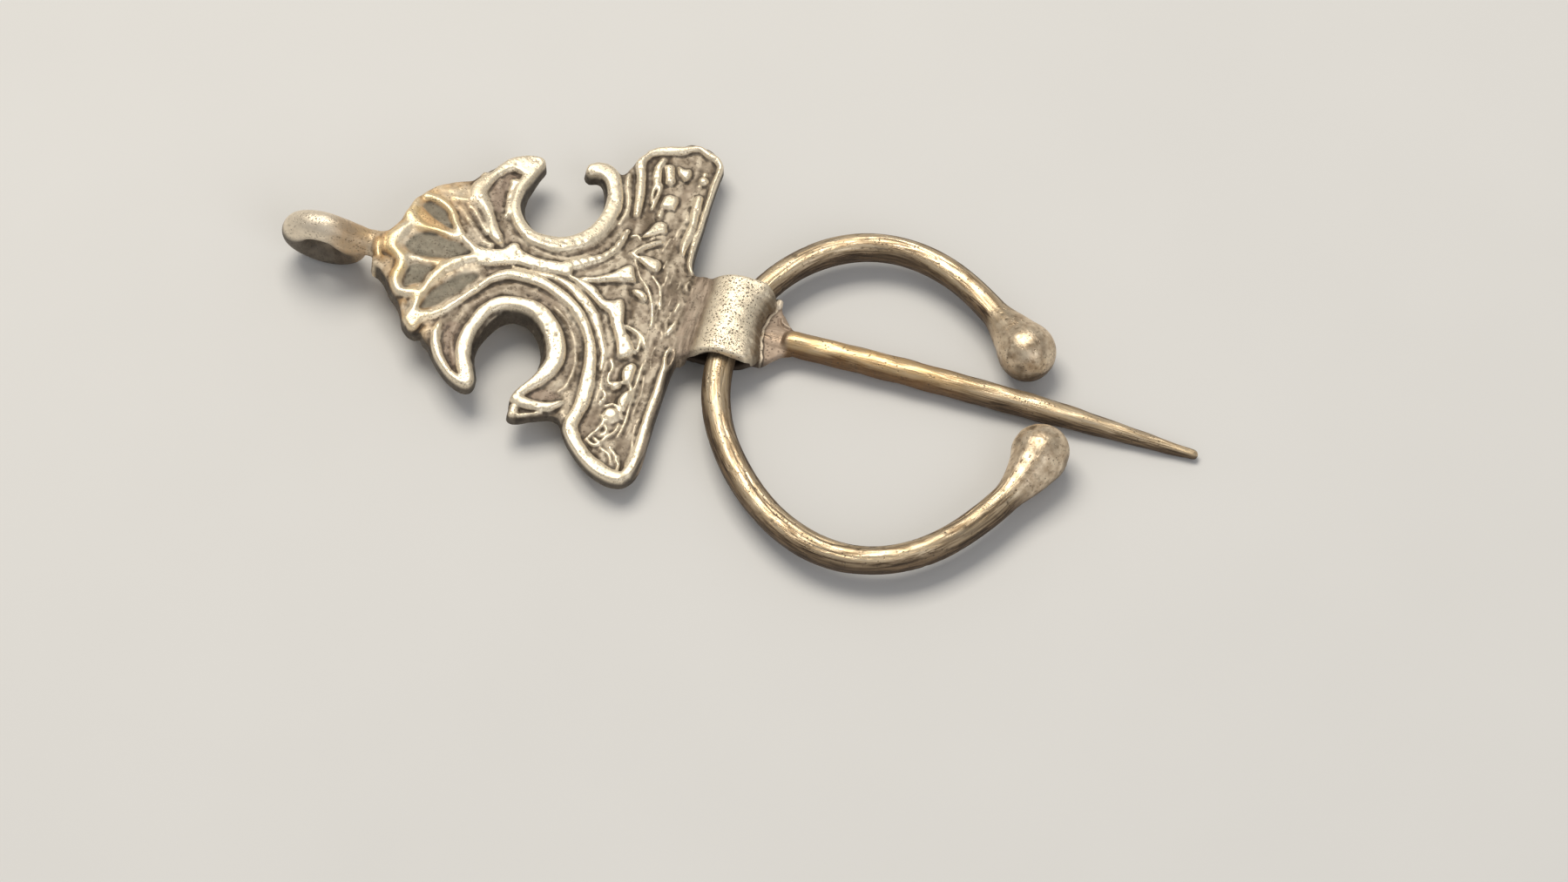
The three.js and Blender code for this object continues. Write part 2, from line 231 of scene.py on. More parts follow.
def dot(x, y, r, h, g=0.1):
    ridge([(x - 0.01, y), (x + 0.01, y)], r, h, g, 2.0)


# ------------------------------------------------------------------ relief of the plate
LEAF = [(6.5, 1.1), (6.85, 2.1), (7.3, 3.0), (7.6, 4.2), (8.1, 5.05), (9.0, 4.98), (9.9, 4.62), (10.5, 3.95), (10.95, 3.15),
        (11.5, 2.5), (12.4, 2.0), (14.0, 2.1), (14.3, 1.0), (13.5, 0.55), (13.9, -0.5), (13.35, -1.5), (12.5, -2.6),
        (11.9, -3.35), (11.2, -3.95), (10.75, -4.4), (10.4, -5.3), (9.85, -5.2), (9.6, -4.6), (9.65, -3.6), (9.4, -3.0),
        (8.7, -2.85), (8.15, -2.2), (7.85, -1.5), (7.85, -0.5), (7.3, -0.05), (6.6, 0.2)]
PETALS = [
    [(8.15, 4.15), (8.55, 4.78), (9.2, 4.6), (9.95, 4.15), (10.3, 3.6), (10.75, 3.0), (10.7, 2.7), (10.2, 2.75), (9.4, 3.1), (8.8, 3.5)],
    [(7.95, 1.1), (8.2, 1.75), (8.8, 2.3), (9.5, 2.42), (10.4, 2.12), (11.2, 2.1), (11.8, 1.9), (12.35, 1.6), (12.5, 1.35),
     (12.1, 1.0), (11.6, 0.72), (10.8, 0.42), (9.8, 0.18), (8.8, 0.18), (8.2, 0.42), (7.9, 0.75)],
    [(8.45, -1.0), (8.6, -0.45), (9.2, -0.2), (10.0, -0.18), (10.6, -0.1), (10.35, -0.6), (10.05, -1.1), (9.95, -1.75),
     (9.3, -2.1), (8.75, -2.35), (8.5, -1.7)],
    [(10.15, -3.7), (10.25, -2.8), (10.5, -2.05), (10.9, -1.5), (11.4, -0.95), (11.9, -0.4), (12.5, -0.12), (13.2, -0.02),
     (13.4, -0.4), (13.05, -1.15), (12.4, -2.0), (11.8, -2.7), (11.2, -3.35), (10.6, -3.68)]]
raised(LEAF, 0.20, soft=0.50)
ridge([(7.55, 4.75), (7.72, 4.1), (7.8, 3.5), (7.75, 3.0)], [.22, .28, .32, .3], .36, .08)
ridge([(7.6, 3.3), (8.1, 2.8), (8.9, 2.45), (9.8, 2.43), (10.7, 2.32), (11.35, 2.3)], [.32, .28, .2, .16, .14, .17], .46)
ridge([(7.9, 2.5), (7.55, 1.95), (7.3, 1.45), (7.22, 1.0), (7.32, .5), (7.7, .1)], [.2, .3, .36, .36, .3, .2], .54)
ridge([(7.7, .1), (8.1, -.2), (8.22, -.8), (8.12, -1.4), (8.22, -2.1), (8.6, -2.65)], [.18, .26, .26, .25, .26, .24], .52)
ridge([(8.5, -2.6), (9.1, -2.65), (9.7, -2.55), (10.0, -2.75)], [.2, .25, .27, .2], .5)
ridge([(8.3, -.02), (9.1, .0), (9.9, -.05), (10.7, .12), (11.2, .3)], .1, .34, .08)
ridge([(12.75, 1.15), (12.1, .82), (11.6, .42), (11.05, -.18), (10.65, -.9), (10.38, -1.5), (10.18, -2.1), (10.02, -2.9), (9.95, -3.7), (9.95, -4.3)],
      [.22, .28, .31, .3, .27, .24, .2, .17, .2, .3], .54)
raised([(9.65, -3.9), (9.7, -4.6), (9.95, -5.25), (10.45, -5.3), (10.75, -4.75), (10.9, -4.3), (10.6, -4.0), (10.1, -3.85)], .5)
ridge([(6.35, .75), (6.4, .2), (6.7, -.4)], [.12, .18, .14], .36, .1)
ridge([(9.1, -3.3), (9.2, -4.0), (9.45, -4.7)], [.18, .2, .16], .2, .06)

RIM_UP = [(14.55, 9.3), (14.35, 8.6), (14.1, 7.8), (13.95, 7.0), (13.95, 6.0), (14.15, 5.2), (14.6, 4.5), (15.2, 3.9), (15.9, 3.5),
          (16.8, 3.4), (17.7, 3.5), (18.5, 3.85), (19.2, 4.45), (19.7, 5.2), (19.95, 6.1), (20.1, 7.0), (20.05, 7.8), (19.85, 8.6),
          (19.5, 9.3), (19.0, 9.72), (18.4, 9.75), (17.95, 9.65)]
ridge(RIM_UP, [.42, .36, .3, .27, .26, .28, .3, .33, .38, .42, .45, .46, .46, .44, .42, .4, .36, .35, .38, .43, .47, .44], 0.52)
ridge([(14.5, 9.35), (13.8, 9.15), (13.1, 8.85), (12.5, 8.35), (12.1, 7.7), (11.75, 7.1), (11.45, 6.5), (11.5, 5.9), (11.95, 5.35),
       (12.4, 4.8), (12.8, 4.2), (13.15, 3.6), (13.5, 3.05), (13.8, 2.7)],
      [.5, .5, .42, .3, .24, .32, .40, .38, .32, .25, .22, .26, .3, .2], 0.49)
ridge([(13.5, 7.6), (13.42, 7.0), (13.45, 6.3), (13.58, 5.6), (13.7, 5.0), (13.65, 4.65)], .17, .36)
ridge([(8.25, 4.95), (9.0, 4.85), (9.8, 4.5), (10.35, 3.95), (10.7, 3.35), (11.05, 2.85), (11.5, 2.35), (12.1, 1.95), (12.6, 1.6)], .2, .51)
ridge([(11.1, 4.95), (11.6, 4.6), (12.05, 4.15), (12.5, 3.6), (12.9, 3.1)], .13, .34)
ridge([(10.6, 4.65), (11.15, 4.15), (11.7, 3.6), (12.3, 3.0), (12.9, 2.5), (13.4, 2.3)], .2, .24, .12)
ridge([(10.1, 5.25), (10.5, 5.2), (11.0, 5.3)], .15, .40)
ridge([(9.2, 5.65), (9.9, 5.75), (10.4, 6.2)], .12, .26)
ridge([(8.7, 5.45), (9.6, 5.45), (10.5, 5.75)], .65, .2, 0, 2.0)
dot(11.45, 7.5, .22, .42)
raised([(12.2, 7.75), (12.35, 8.45), (12.95, 9.0), (13.7, 9.35), (14.4, 9.4), (14.85, 9.2), (14.85, 8.75), (14.6, 8.25), (14.1, 8.1), (13.6, 8.2), (13.1, 8.32),
        (12.75, 8.1), (12.5, 7.7)], .49, soft=.3)
ridge([(13.35, 7.45), (13.7, 7.4), (14.0, 7.3)], .2, .42, .06)
ridge([(12.55, 7.3), (12.5, 6.6), (12.6, 5.9), (12.85, 5.3)], .22, .16, .05)
raised([(12.5, 1.9), (13.3, 1.9), (14.2, 2.15), (14.55, 2.7), (15.0, 2.75), (15.3, 2.35), (16.2, 2.08), (17.2, 2.02), (18.2, 2.05),
        (18.9, 1.7), (18.8, 1.2), (17.6, 1.15), (16.4, 1.2), (15.4, 1.22), (14.6, 1.0), (13.6, 0.72), (12.9, 0.72), (12.4, 1.2)], .46, soft=.25)
ridge([(15.9, 2.75), (17.0, 2.5), (18.0, 2.42), (18.9, 2.7), (19.6, 3.1)], .12, .2, .1)
ridge([(16.4, 2.95), (17.4, 2.85), (18.4, 3.0), (19.2, 3.5), (19.9, 4.2), (20.4, 5.1), (20.7, 6.1)], .12, .2, .1)
ridge([(18.5, 1.9), (19.3, 2.35), (20.0, 2.75), (20.6, 3.2), (21.05, 3.8), (21.35, 4.5), (21.55, 5.5)], [.3, .3, .28, .25, .22, .2, .17], .45)
ridge([(21.7, 6.95), (21.65, 7.6), (21.55, 8.4), (21.4, 9.2), (21.2, 10.0), (20.95, 10.7), (20.95, 11.3), (21.3, 11.85)],
      [.2, .24, .24, .24, .24, .26, .25, .2], .5)
ridge([(20.9, 5.9), (21.0, 7.0), (20.9, 8.0), (20.6, 9.0), (20.4, 9.9)], .16, .26, .12)
ridge([(22.3, 11.65), (22.15, 10.9), (22.25, 10.1), (22.4, 9.4)], [.2, .24, .24, .2], .38)
ridge([(22.25, 9.4), (22.3, 8.8), (22.45, 8.2)], .1, .38)
ridge([(22.62, 9.6), (22.68, 8.9), (22.62, 8.1), (22.6, 7.75)], .13, .40)
raised([(22.55, 11.15), (22.75, 11.35), (23.1, 11.3), (23.25, 10.7), (23.5, 10.15), (23.3, 9.85), (22.9, 9.85), (22.75, 10.4)], .44)
raised([(23.35, 11.35), (23.8, 11.2), (24.15, 11.35), (24.35, 11.0), (24.3, 10.6), (24.05, 10.4), (23.8, 10.65), (23.55, 10.75)], .46)
raised([(23.1, 8.05), (23.15, 8.8), (23.45, 8.98), (24.0, 8.9), (24.15, 8.5), (24.1, 7.95), (23.5, 7.9)], .45, smooth=False)
raised([(23.1, 7.2), (23.2, 7.9), (23.4, 7.8), (23.42, 7.2)], .3)
raised([(22.6, 5.35), (22.85, 5.95), (23.1, 6.6), (23.5, 6.85), (23.85, 6.7), (24.05, 6.15), (23.6, 5.9), (23.1, 5.55)], .46)
ridge([(23.2, 5.35), (23.55, 5.6), (23.95, 5.75)], .08, .26)
ridge([(22.5, 4.1), (22.9, 4.55), (23.4, 4.95), (23.95, 5.25)], [.16, .17, .18, .12], .47)
ridge([(21.9, 5.2), (22.3, 5.35), (22.5, 5.1)], .1, .3)
raised([(22.7, 3.75), (23.2, 3.95), (23.8, 3.9), (24.25, 3.75), (24.32, 3.15), (24.05, 2.95), (23.6, 3.15), (23.1, 3.45)], .48)
ridge([(22.3, 3.95), (22.7, 3.75)], .15, .4)
raised([(19.6, 1.25), (20.6, 1.55), (21.4, 2.05), (22.0, 2.65), (22.4, 3.0), (22.65, 2.9), (22.9, 2.3), (23.05, 1.95), (22.6, 1.82),
        (22.1, 1.68), (21.4, 1.48), (20.7, 1.22), (20.0, 1.05)], .46)
raised([(18.8, 1.2), (20.2, 1.0), (20.8, 0.75), (21.3, 0.25), (21.7, -0.02), (22.2, 0.05), (22.65, 0.3), (22.95, -0.2), (23.1, -0.9),
        (23.2, -1.4), (23.5, -2.0), (24.0, -2.8), (24.4, -3.6), (23.9, -4.05), (23.5, -3.9), (23.2, -3.0), (22.6, -1.8),
        (22.1, -0.9), (21.4, -0.5), (20.6, 0.1), (19.6, 0.7)], .46)
ridge([(21.3, 11.95), (21.9, 12.3), (22.6, 12.5), (23.3, 12.7), (23.9, 13.0), (24.4, 13.1), (25.0, 12.8), (25.6, 12.55), (26.0, 12.15)],
      [.22, .26, .27, .25, .2, .2, .22, .22, .2], .47)
ridge([(26.05, 12.1), (26.0, 11), (25.98, 9.5), (25.98, 8), (26.0, 6.5), (26.02, 5), (26.15, 4.0), (26.45, 3.4)], [.2, .19, .17, .15, .15, .15, .14, .12], .46)
ridge([(25.35, 9.2), (25.4, 8.2), (25.47, 7.2), (25.48, 6.2), (25.46, 5.4), (25.5, 4.75)], [.22, .25, .2, .25, .22, .13], .54)
dot(25.25, 10.65, .27, .42)
dot(25.2, 11.2, .17, .36)
dot(25.1, 10.15, .13, .3)

RIM_LOW = [(14.75, -8.3), (14.4, -7.5), (14.05, -6.7), (13.85, -5.7), (13.85, -4.7), (14.05, -3.8), (14.45, -2.8), (15.0, -2.1),
           (15.7, -1.75), (16.5, -1.65), (17.3, -1.75), (18.0, -2.1), (18.7, -2.75), (19.25, -3.6), (19.6, -4.5), (19.7, -5.4),
           (19.55, -6.2), (19.15, -6.95), (18.7, -7.55), (18.3, -8.1), (18.15, -8.6)]
ridge(RIM_LOW, [.35, .36, .36, .36, .35, .33, .33, .34, .35, .36, .38, .4, .42, .43, .44, .44, .42, .38, .32, .3, .3], .52)
ridge([(18.15, -8.65), (18.8, -8.85), (19.5, -8.9), (20.2, -8.8), (20.8, -8.6), (21.1, -8.3)], [.33, .3, .26, .24, .2, .15], .48)
raised([(18.05, -7.9), (18.45, -7.6), (18.55, -8.2), (18.65, -8.6), (19.5, -8.65), (20.5, -8.5), (20.9, -8.25), (21.0, -8.6), (20.5, -9.1), (19.6, -9.2), (18.8, -9.05),
        (18.0, -8.95), (17.95, -8.4)], .5, soft=.2)
ridge([(21.35, -7.6), (21.45, -8.4), (21.4, -9.1)], .3, .2, .05)
ridge([(18.2, -9.3), (18.25, -9.9)], .25, .26, .1)
ridge([(18.6, -9.9), (19.3, -9.6), (20.0, -9.3)], .13, .28, .1)
ridge([(10.0, -4.6), (10.5, -4.25), (11.1, -3.95), (11.7, -3.5), (12.2, -2.9), (12.7, -2.3), (13.2, -1.65), (13.65, -1.0),
       (14.05, -0.35), (14.6, 0.15), (15.3, 0.42), (16.1, 0.45), (17.0, 0.38), (17.9, 0.1), (18.8, -0.35), (19.6, -0.85), (20.3, -1.5),
       (20.95, -2.3), (21.45, -3.2), (21.8, -4.2), (22.05, -5.2), (22.2, -6.2), (22.3, -7.2), (22.3, -8.2), (22.2, -9.0),
       (22.05, -9.6), (22.15, -10.2), (22.5, -10.9), (23.0, -11.5), (23.7, -12.05), (24.5, -12.5), (25.3, -12.8), (26.0, -12.85)],
      [.4, .33, .25, .2, .2, .17, .18, .2, .22, .27, .28, .28, .28, .27, .27, .27, .27, .26, .26, .28, .31, .34, .34, .32, .3, .32,
       .36, .4, .42, .42, .42, .4, .35], .5)
ridge([(11.85, -4.4), (11.85, -5.2), (12.05, -6.0), (12.45, -6.8), (12.95, -7.5), (13.5, -8.0), (14.1, -8.3), (14.7, -8.35)],
      [.15, .22, .24, .24, .24, .24, .26, .3], .47)
ridge([(11.3, -5.0), (11.2, -5.4)], .3, .2, 0)
ridge([(18.6, -1.3), (19.5, -2.0), (20.2, -2.9), (20.7, -3.9), (21.0, -5.0), (21.1, -6.0), (21.0, -7.0), (20.7, -7.6)], .14, .22, .1)
ridge([(13.1, -3.2), (12.9, -4.2), (12.9, -5.2), (13.2, -6.2), (13.6, -7.2)], .15, .2, .1)
ridge([(15.2, 0.95), (16.2, 0.95), (17.2, 0.9), (18.2, 0.8), (19.2, 0.45), (20.0, -0.1), (20.8, -0.8), (21.5, -1.7), (22.1, -2.8),
       (22.6, -4.0), (22.8, -5.2)], [.13, .16, .16, .18, .24, .28, .28, .26, .22, .18, .1], .3)
ridge([(26.5, -2.7), (26.42, -3.3), (26.6, -4.3), (26.68, -6), (26.68, -7.5), (26.72, -9), (26.78, -10.3), (26.78, -11.4), (26.55, -12.2), (26.2, -12.75)],
      [.1, .1, .2, .24, .24, .25, .27, .3, .3, .25], .45)
ridge([(26.62, -2.45), (26.42, -2.9), (26.42, -3.5), (26.6, -4.2)], .09, .46)
ridge([(26.85, -2.55), (27.02, -3.0), (26.98, -3.6), (26.78, -4.2)], .08, .44)
ridge([(26.15, -8.2), (26.05, -8.8), (26.15, -9.6), (26.3, -10.5), (26.3, -11.3), (26.2, -11.9)], .09, .26, .1)
raised([(24.3, -4.5), (24.65, -4.35), (24.9, -4.6), (24.92, -5.3), (24.85, -5.75), (24.5, -5.85), (24.2, -5.2)], .48)
raised([(23.75, -5.95), (24.25, -5.85), (24.3, -6.2), (23.95, -6.5), (23.75, -6.35)], .42)
raised([(24.85, -6.35), (25.12, -6.6), (25.12, -7.3), (25.05, -7.95), (24.8, -7.8), (24.5, -7.3), (24.6, -6.75)], .48)
raised([(23.85, -8.45), (24.05, -8.05), (24.45, -7.95), (24.8, -8.25), (24.7, -8.7), (24.35, -8.88), (24.0, -8.75)], .5)
ridge([(23.0, -4.6), (23.05, -5.6), (23.1, -6.6), (23.1, -7.6)], .16, .22, .08)
for line in [[(24.2, -5.85), (24.8, -5.85), (25.05, -6.3)], [(23.8, -7.9), (24.3, -7.6), (24.8, -8.0), (25.05, -8.5)],
             [(23.7, -8.6), (24.0, -8.95), (23.9, -9.5), (23.6, -10.0), (23.3, -10.6)], [(24.0, -8.95), (24.5, -8.98), (24.85, -8.6)],
             [(25.0, -9.0), (24.9, -9.6), (24.5, -10.1), (24.2, -10.6), (23.8, -10.4)], [(23.3, -10.6), (23.9, -10.9), (24.3, -10.7)],
             [(24.2, -9.3), (24.4, -9.7), (24.1, -10.1)], [(24.4, -11.0), (25.0, -11.3), (25.3, -11.9)],
             [(24.9, -10.7), (25.3, -11.1), (25.6, -11.7)], [(25.6, -11.3), (25.8, -11.9), (25.8, -12.4)],
             [(23.2, -4.3), (23.5, -4.9), (23.4, -5.6), (23.6, -6.2)], [(23.2, -6.6), (23.6, -7.1), (23.4, -7.8)]]:
    ridge(line, .1, .36, .12)
ridge([(25.2, -4.2), (25.3, -5.2), (25.25, -6.2), (25.3, -7.2), (25.35, -8.2), (25.3, -9.2), (25.2, -9.9)], .1, .28, .12)
ridge([(25.6, -5.0), (25.75, -6), (25.75, -7), (25.7, -8), (25.8, -9), (25.75, -9.8)], .1, .2, .1)
raised([(23.1, 1.3), (23.6, 1.28), (24.0, 1.05), (24.2, 0.7), (24.0, 0.5), (23.6, 0.75), (23.25, 1.0)], .42)
ridge([(23.5, -1.65), (24.1, -1.85), (24.7, -2.2), (25.0, -2.8)], .14, .36)
ridge([(23.75, -2.3), (24.1, -2.9), (24.5, -3.5)], .1, .34)
ridge([(24.3, -1.95), (24.6, -2.6), (24.6, -3.3)], .1, .34)
ridge([(23.6, 1.95), (24.2, 1.25), (24.6, 0.4), (24.85, -0.5), (25.0, -1.3)], .1, .34)
ridge([(24.0, 2.6), (24.6, 2.0), (25.0, 1.1), (25.2, 0.2)], .1, .3)
ridge([(22.6, 3.6), (22.95, 2.9), (23.3, 2.3), (23.7, 1.95)], .07, .28)
ridge([(26.42, 2.0), (26.3, 2.45), (26.42, 2.8)], .12, .24)
ridge([(26.75, 1.9), (26.7, 2.5)], .08, .2, .06)
ridge([(26.25, 1.0), (26.15, 0.3)], .12, .3)
ridge([(26.4, -0.4), (26.3, -1.0), (26.15, -1.5)], [.12, .2, .1], .36)
rs = np.random.RandomState(21)
for k in range(64):          # hair-like casting flow along the wide edge
    y = rs.uniform(-3.9, 9.6)
    x = rs.uniform(24.35, 25.15) if y > 3.4 else rs.uniform(24.75, 25.95)
    ln = rs.uniform(0.25, 0.9)
    sl = rs.uniform(-0.35, 0.15) if y > 0 else rs.uniform(-0.1, 0.35)
    ridge([(x, y), (x + sl * ln * 0.5 + rs.uniform(-.05, .05), y - ln * 0.5), (x + sl * ln, y - ln)], rs.uniform(.05, .09), rs.uniform(.14, .26), .08)

CUTS = [[(20.9, 1.15), (21.6, 1.42), (22.3, 1.55), (22.9, 1.8), (23.2, 2.05)], [(23.0, 2.0), (23.05, 1.3), (23.2, 0.3), (23.6, -0.8), (23.9, -1.3)],
        [(22.5, 3.5), (22.85, 2.8), (23.2, 2.1)], [(24.5, -3.6), (24.9, -3.9), (25.3, -3.8)], [(22.3, 9.3), (22.4, 8.8), (22.5, 8.3)],
        [(22.35, 11.3), (22.6, 10.6), (22.8, 9.9)], [(23.2, 11.4), (23.5, 10.5), (23.3, 9.85), (23.0, 9.6)],
        [(16.4, 2.3), (17.3, 2.25), (18.2, 2.2), (19.0, 2.55), (19.6, 2.95)], [(13.7, 6.4), (13.75, 5.5), (13.9, 4.9)],
        [(16.5, -0.7), (17.4, -0.85), (18.4, -1.2)], [(12.4, -4.4), (12.3, -5.2), (12.6, -6.2)]]
for line in CUTS:
    q = spline(plan(line), 0.14)
    s = window(q, 0.5)
    d = seg_distance(UX[s], UY[s], q)
    cut[s] = np.maximum(cut[s], 0.2 * np.exp(-(d / 0.09) ** 2))
for k in range(9):           # cracks across the crackled ridge that leaves the stem
    t = k / 8
    x, y = 18.9 + 2.6 * t ** 0.8, 2.1 + 3.2 * t ** 1.3
    q = spline(plan([(x - 0.32 + 0.2 * t, y + 0.22), (x + 0.02, y), (x + 0.28, y - 0.3 + 0.2 * t)]), 0.14)
    s = window(q, 0.4)
    d = seg_distance(UX[s], UY[s], q)
    cut[s] = np.maximum(cut[s], 0.17 * np.exp(-(d / 0.06) ** 2))
    up[s] -= 0.10 * np.exp(-(d / 0.06) ** 2)

carve = np.zeros((NX, NY))
for p in PETALS:
    q = spline(plan(p), 0.2, closed=True)
    s = window(q, 0.3)
    d = seg_distance(UX[s], UY[s], np.vstack([q, q[:1]]))
    carve[s] = np.maximum(carve[s], np.where(inside(UX[s], UY[s], q), ease((d - 0.04) / 0.22), 0))
up = up * (1 - carve) - 0.05 * carve

PURPLE = [[(12.15, -4.2), (12.9, -3.9), (13.35, -4.4), (13.35, -5.6), (13.6, -6.7), (13.95, -7.6), (13.3, -7.6), (12.6, -6.6), (12.2, -5.5)],
          [(18.6, -8.2), (18.9, -7.75), (19.8, -7.5), (20.6, -7.7), (20.9, -8.0), (20.2, -8.4), (19.2, -8.6), (18.75, -8.55)],
          [(12.4, 7.9), (13.2, 8.25), (14.3, 8.1), (14.1, 7.5), (13.3, 7.2), (13.2, 6.0), (13.3, 5.0), (12.9, 4.9), (12.2, 5.8), (12.1, 6.8)]]
rosy = np.zeros((NX, NY))
for p in PURPLE:
    q = spline(plan(p), 0.2, closed=True)
    s = window(q, 0.3)
    rosy[s] = np.maximum(rosy[s], np.where(inside(UX[s], UY[s], q), ease(seg_distance(UX[s], UY[s], np.vstack([q, q[:1]])) / 0.15), 0))

LATTICE = np.random.RandomState(77).uniform(-1, 1, (256, 256))


def noise_at(u, v, shift):
    iu, iv = np.floor(u).astype(int), np.floor(v).astype(int)
    fu, fv = u - iu, v - iv

    def w(f):
        return [(1 - f) ** 3 / 6, (3 * f ** 3 - 6 * f ** 2 + 4) / 6, (-3 * f ** 3 + 3 * f ** 2 + 3 * f + 1) / 6, f ** 3 / 6]
    wu, wv = w(fu), w(fv)
    out = np.zeros(u.shape)
    for a in range(4):
        for b in range(4):
            out += wu[a] * wv[b] * LATTICE[(iu + a + shift) % 256, (iv + b + 3 * shift) % 256]
    return 1.9 * out


def streaks(u, v, shift):
    return 0.6 * noise_at(u / 0.30, v / 1.5, shift) + 0.5 * noise_at(u / 0.17, v / 0.75, shift + 9) + 0.25 * noise_at(u / 0.13, v / 0.2, shift + 31)


eye_up, eye_low = plan([(17.0, 6.5)])[0], plan([(16.7, -5.0)])[0]
ru, rl = np.hypot(UX - eye_up[0], UY - eye_up[1]), np.hypot(UX - eye_low[0], UY - eye_low[1])
tu, tl = np.arctan2(UY - eye_up[1], UX - eye_up[0]), np.arctan2(UY - eye_low[1], UX - eye_low[0])
hub = plan([(14.0, 1.2)])[0]
rh, th_ = np.hypot(UX - hub[0], UY - hub[1]), np.arctan2(UY - hub[1], hub[0] - UX)
w_low = ease((rh - 0.0) / 3.0) * 0 + ease((ru - rl + 0.8) / 1.6)
around_eyes = (1 - w_low) * streaks(ru, tu * 3.4, 5) + w_low * streaks(rl, tl * 3.4, 60)
w_wing = ease((UX - 20.6) / 1.2)
w_leaf = ease((12.6 - UX) / 1.0) * ease((UY + 4.2) / 1.0)
flow = (1 - w_wing) * around_eyes + w_wing * streaks(UX + 0.08 * np.abs(UY), UY, 111)
flow = (1 - w_leaf) * flow + w_leaf * streaks(th_ * 4.0, rh, 160)
grit = 0.5 * noise_at(UX / 0.22, UY / 0.22, 201) + 0.5 * noise_at(UX / 0.13, UY / 0.13, 222)
fleck = np.clip(0.8 * flow + 0.45 * grit, -1, 1)

FIELD = 0.5 * LOWER
crest = crest_at(GX, GY)
rough = 0.045 * value_noise(0.6, 11, (0.7, 1.3)) + 0.032 * value_noise(0.27, 12, (0.8, 1.3)) + 0.016 * value_noise(0.14, 13)
ridged = np.clip(up / (0.45 * LOWER), 0, 1)
leafy = ease((13.6 - GX) / 1.2) * ease((6.5 - np.abs(GY)) / 1.5)
up = up + leafy * (blur(up, 0.10) - up)
H = crest - FIELD + up - cut * (1 - ease(up / 0.2)) + 0.02 * value_noise(1.1, 14)
H = blur(H, 0.05) + (0.6 * rough + 0.072 * fleck * (1 - carve * 0.6)) * (1 - 0.84 * ease(ridged / 0.8))
# pits, some on the ridges too
rs = np.random.RandomState(5)
for k in range(900):
    x, y, r = rs.uniform(11, 27), rs.uniform(-12.5, 12.5), rs.uniform(0.05, 0.12)
    s = window(np.array([[x, y]]), 0.35)
    d = np.hypot(GX[s] - x, GY[s] - y)
    H[s] -= rs.uniform(0.03, 0.09) * np.exp(-(d / r) ** 2)

# ------------------------------------------------------------------ outline of the plate at its crest
OUTLINE = [
    (6.3, 1.3), (6.9, 2.1), (7.25, 2.9), (7.45, 3.8), (7.7, 4.6), (8.1, 5.2), (8.65, 5.8), (9.35, 6.3), (10.1, 6.65), (10.75, 7.0),
    (11.1, 7.45), (11.45, 7.85), (11.8, 8.3), (12.25, 8.85), (12.85, 9.3), (13.6, 9.62), (14.3, 9.72), (14.8, 9.6), (14.98, 9.2),
    (14.75, 8.6), (14.5, 7.8), (14.3, 7.0), (14.3, 6.1), (14.6, 5.35), (15.1, 4.7), (15.7, 4.2), (16.4, 3.95), (17.2, 3.92),
    (18.0, 4.15), (18.7, 4.65), (19.2, 5.3), (19.5, 6.1), (19.62, 7.0), (19.55, 7.8), (19.3, 8.5), (18.95, 9.05), (18.5, 9.3),
    (18.0, 9.2), (17.7, 9.45), (17.7, 9.9), (18.15, 10.3), (18.8, 10.45), (19.4, 10.3), (19.85, 10.0), (20.1, 10.05), (20.35, 10.45), (20.6, 11.1),
    (20.95, 11.65), (21.1, 12.05), (21.6, 12.45), (22.3, 12.75), (23.1, 13.1), (23.8, 13.42), (24.6, 13.4), (25.3, 13.1), (25.9, 12.6),
    (26.25, 12.0), (26.2, 11.0), (26.15, 9.5), (26.15, 8.0), (26.17, 6.5), (26.2, 5.0), (26.35, 4.0), (26.7, 3.4), (27.6, 3.2),
    (27.6, 0.0), (27.6, -2.6), (27.2, -2.9), (27.08, -3.4), (27.05, -5.0), (27.05, -6.5), (27.08, -8.0), (27.12, -9.5), (27.15, -10.8),
    (27.1, -11.8), (26.85, -12.6), (26.4, -13.1), (25.7, -13.25), (25.0, -13.1), (24.2, -12.75), (23.4, -12.2), (22.7, -11.55),
    (22.1, -10.85), (21.65, -10.2), (21.4, -9.7), (21.1, -9.4), (20.6, -9.3), (20.0, -9.5), (19.3, -9.8), (18.75, -10.1), (18.25, -10.2),
    (17.9, -10.0), (17.9, -9.5), (17.78, -9.0), (17.85, -8.4), (18.1, -7.9), (18.5, -7.3), (18.8, -6.6), (18.95, -5.9), (18.98, -5.1),
    (18.8, -4.3), (18.45, -3.5), (17.95, -2.8), (17.35, -2.3), (16.6, -2.1), (15.9, -2.2), (15.35, -2.6), (14.9, -3.3), (14.6, -4.1),
    (14.42, -4.9), (14.42, -5.7), (14.6, -6.4), (14.85, -7.0), (15.1, -7.6), (15.15, -8.2), (15.0, -8.6), (14.55, -8.72), (13.85, -8.45),
    (13.2, -7.98), (12.55, -7.35), (12.0, -6.7), (11.55, -6.1), (11.1, -5.75), (10.85, -5.35), (10.5, -5.5), (10.0, -5.35), (9.5, -4.85),
    (9.25, -4.2), (9.0, -3.7), (8.6, -3.15), (8.1, -2.65), (7.7, -2.05), (7.35, -1.6), (6.9, -1.2), (6.3, -0.75)]
outline = spline(plan(OUTLINE), 0.25, closed=True)
D = seg_distance(GX, GY, np.vstack([outline, outline[:1]]))
D = np.where(inside(GX, GY, outline), -D, D) + 0.02 * value_noise(0.8, 31)
near_eye = np.exp(-((np.hypot(GX - eye_up[0], GY - eye_up[1]) / 3.3) ** 6)) + np.exp(-((np.hypot(GX - eye_low[0], GY - eye_low[1]) / 3.3) ** 6))
DRAFT = 0.05 + 0.2 * near_eye


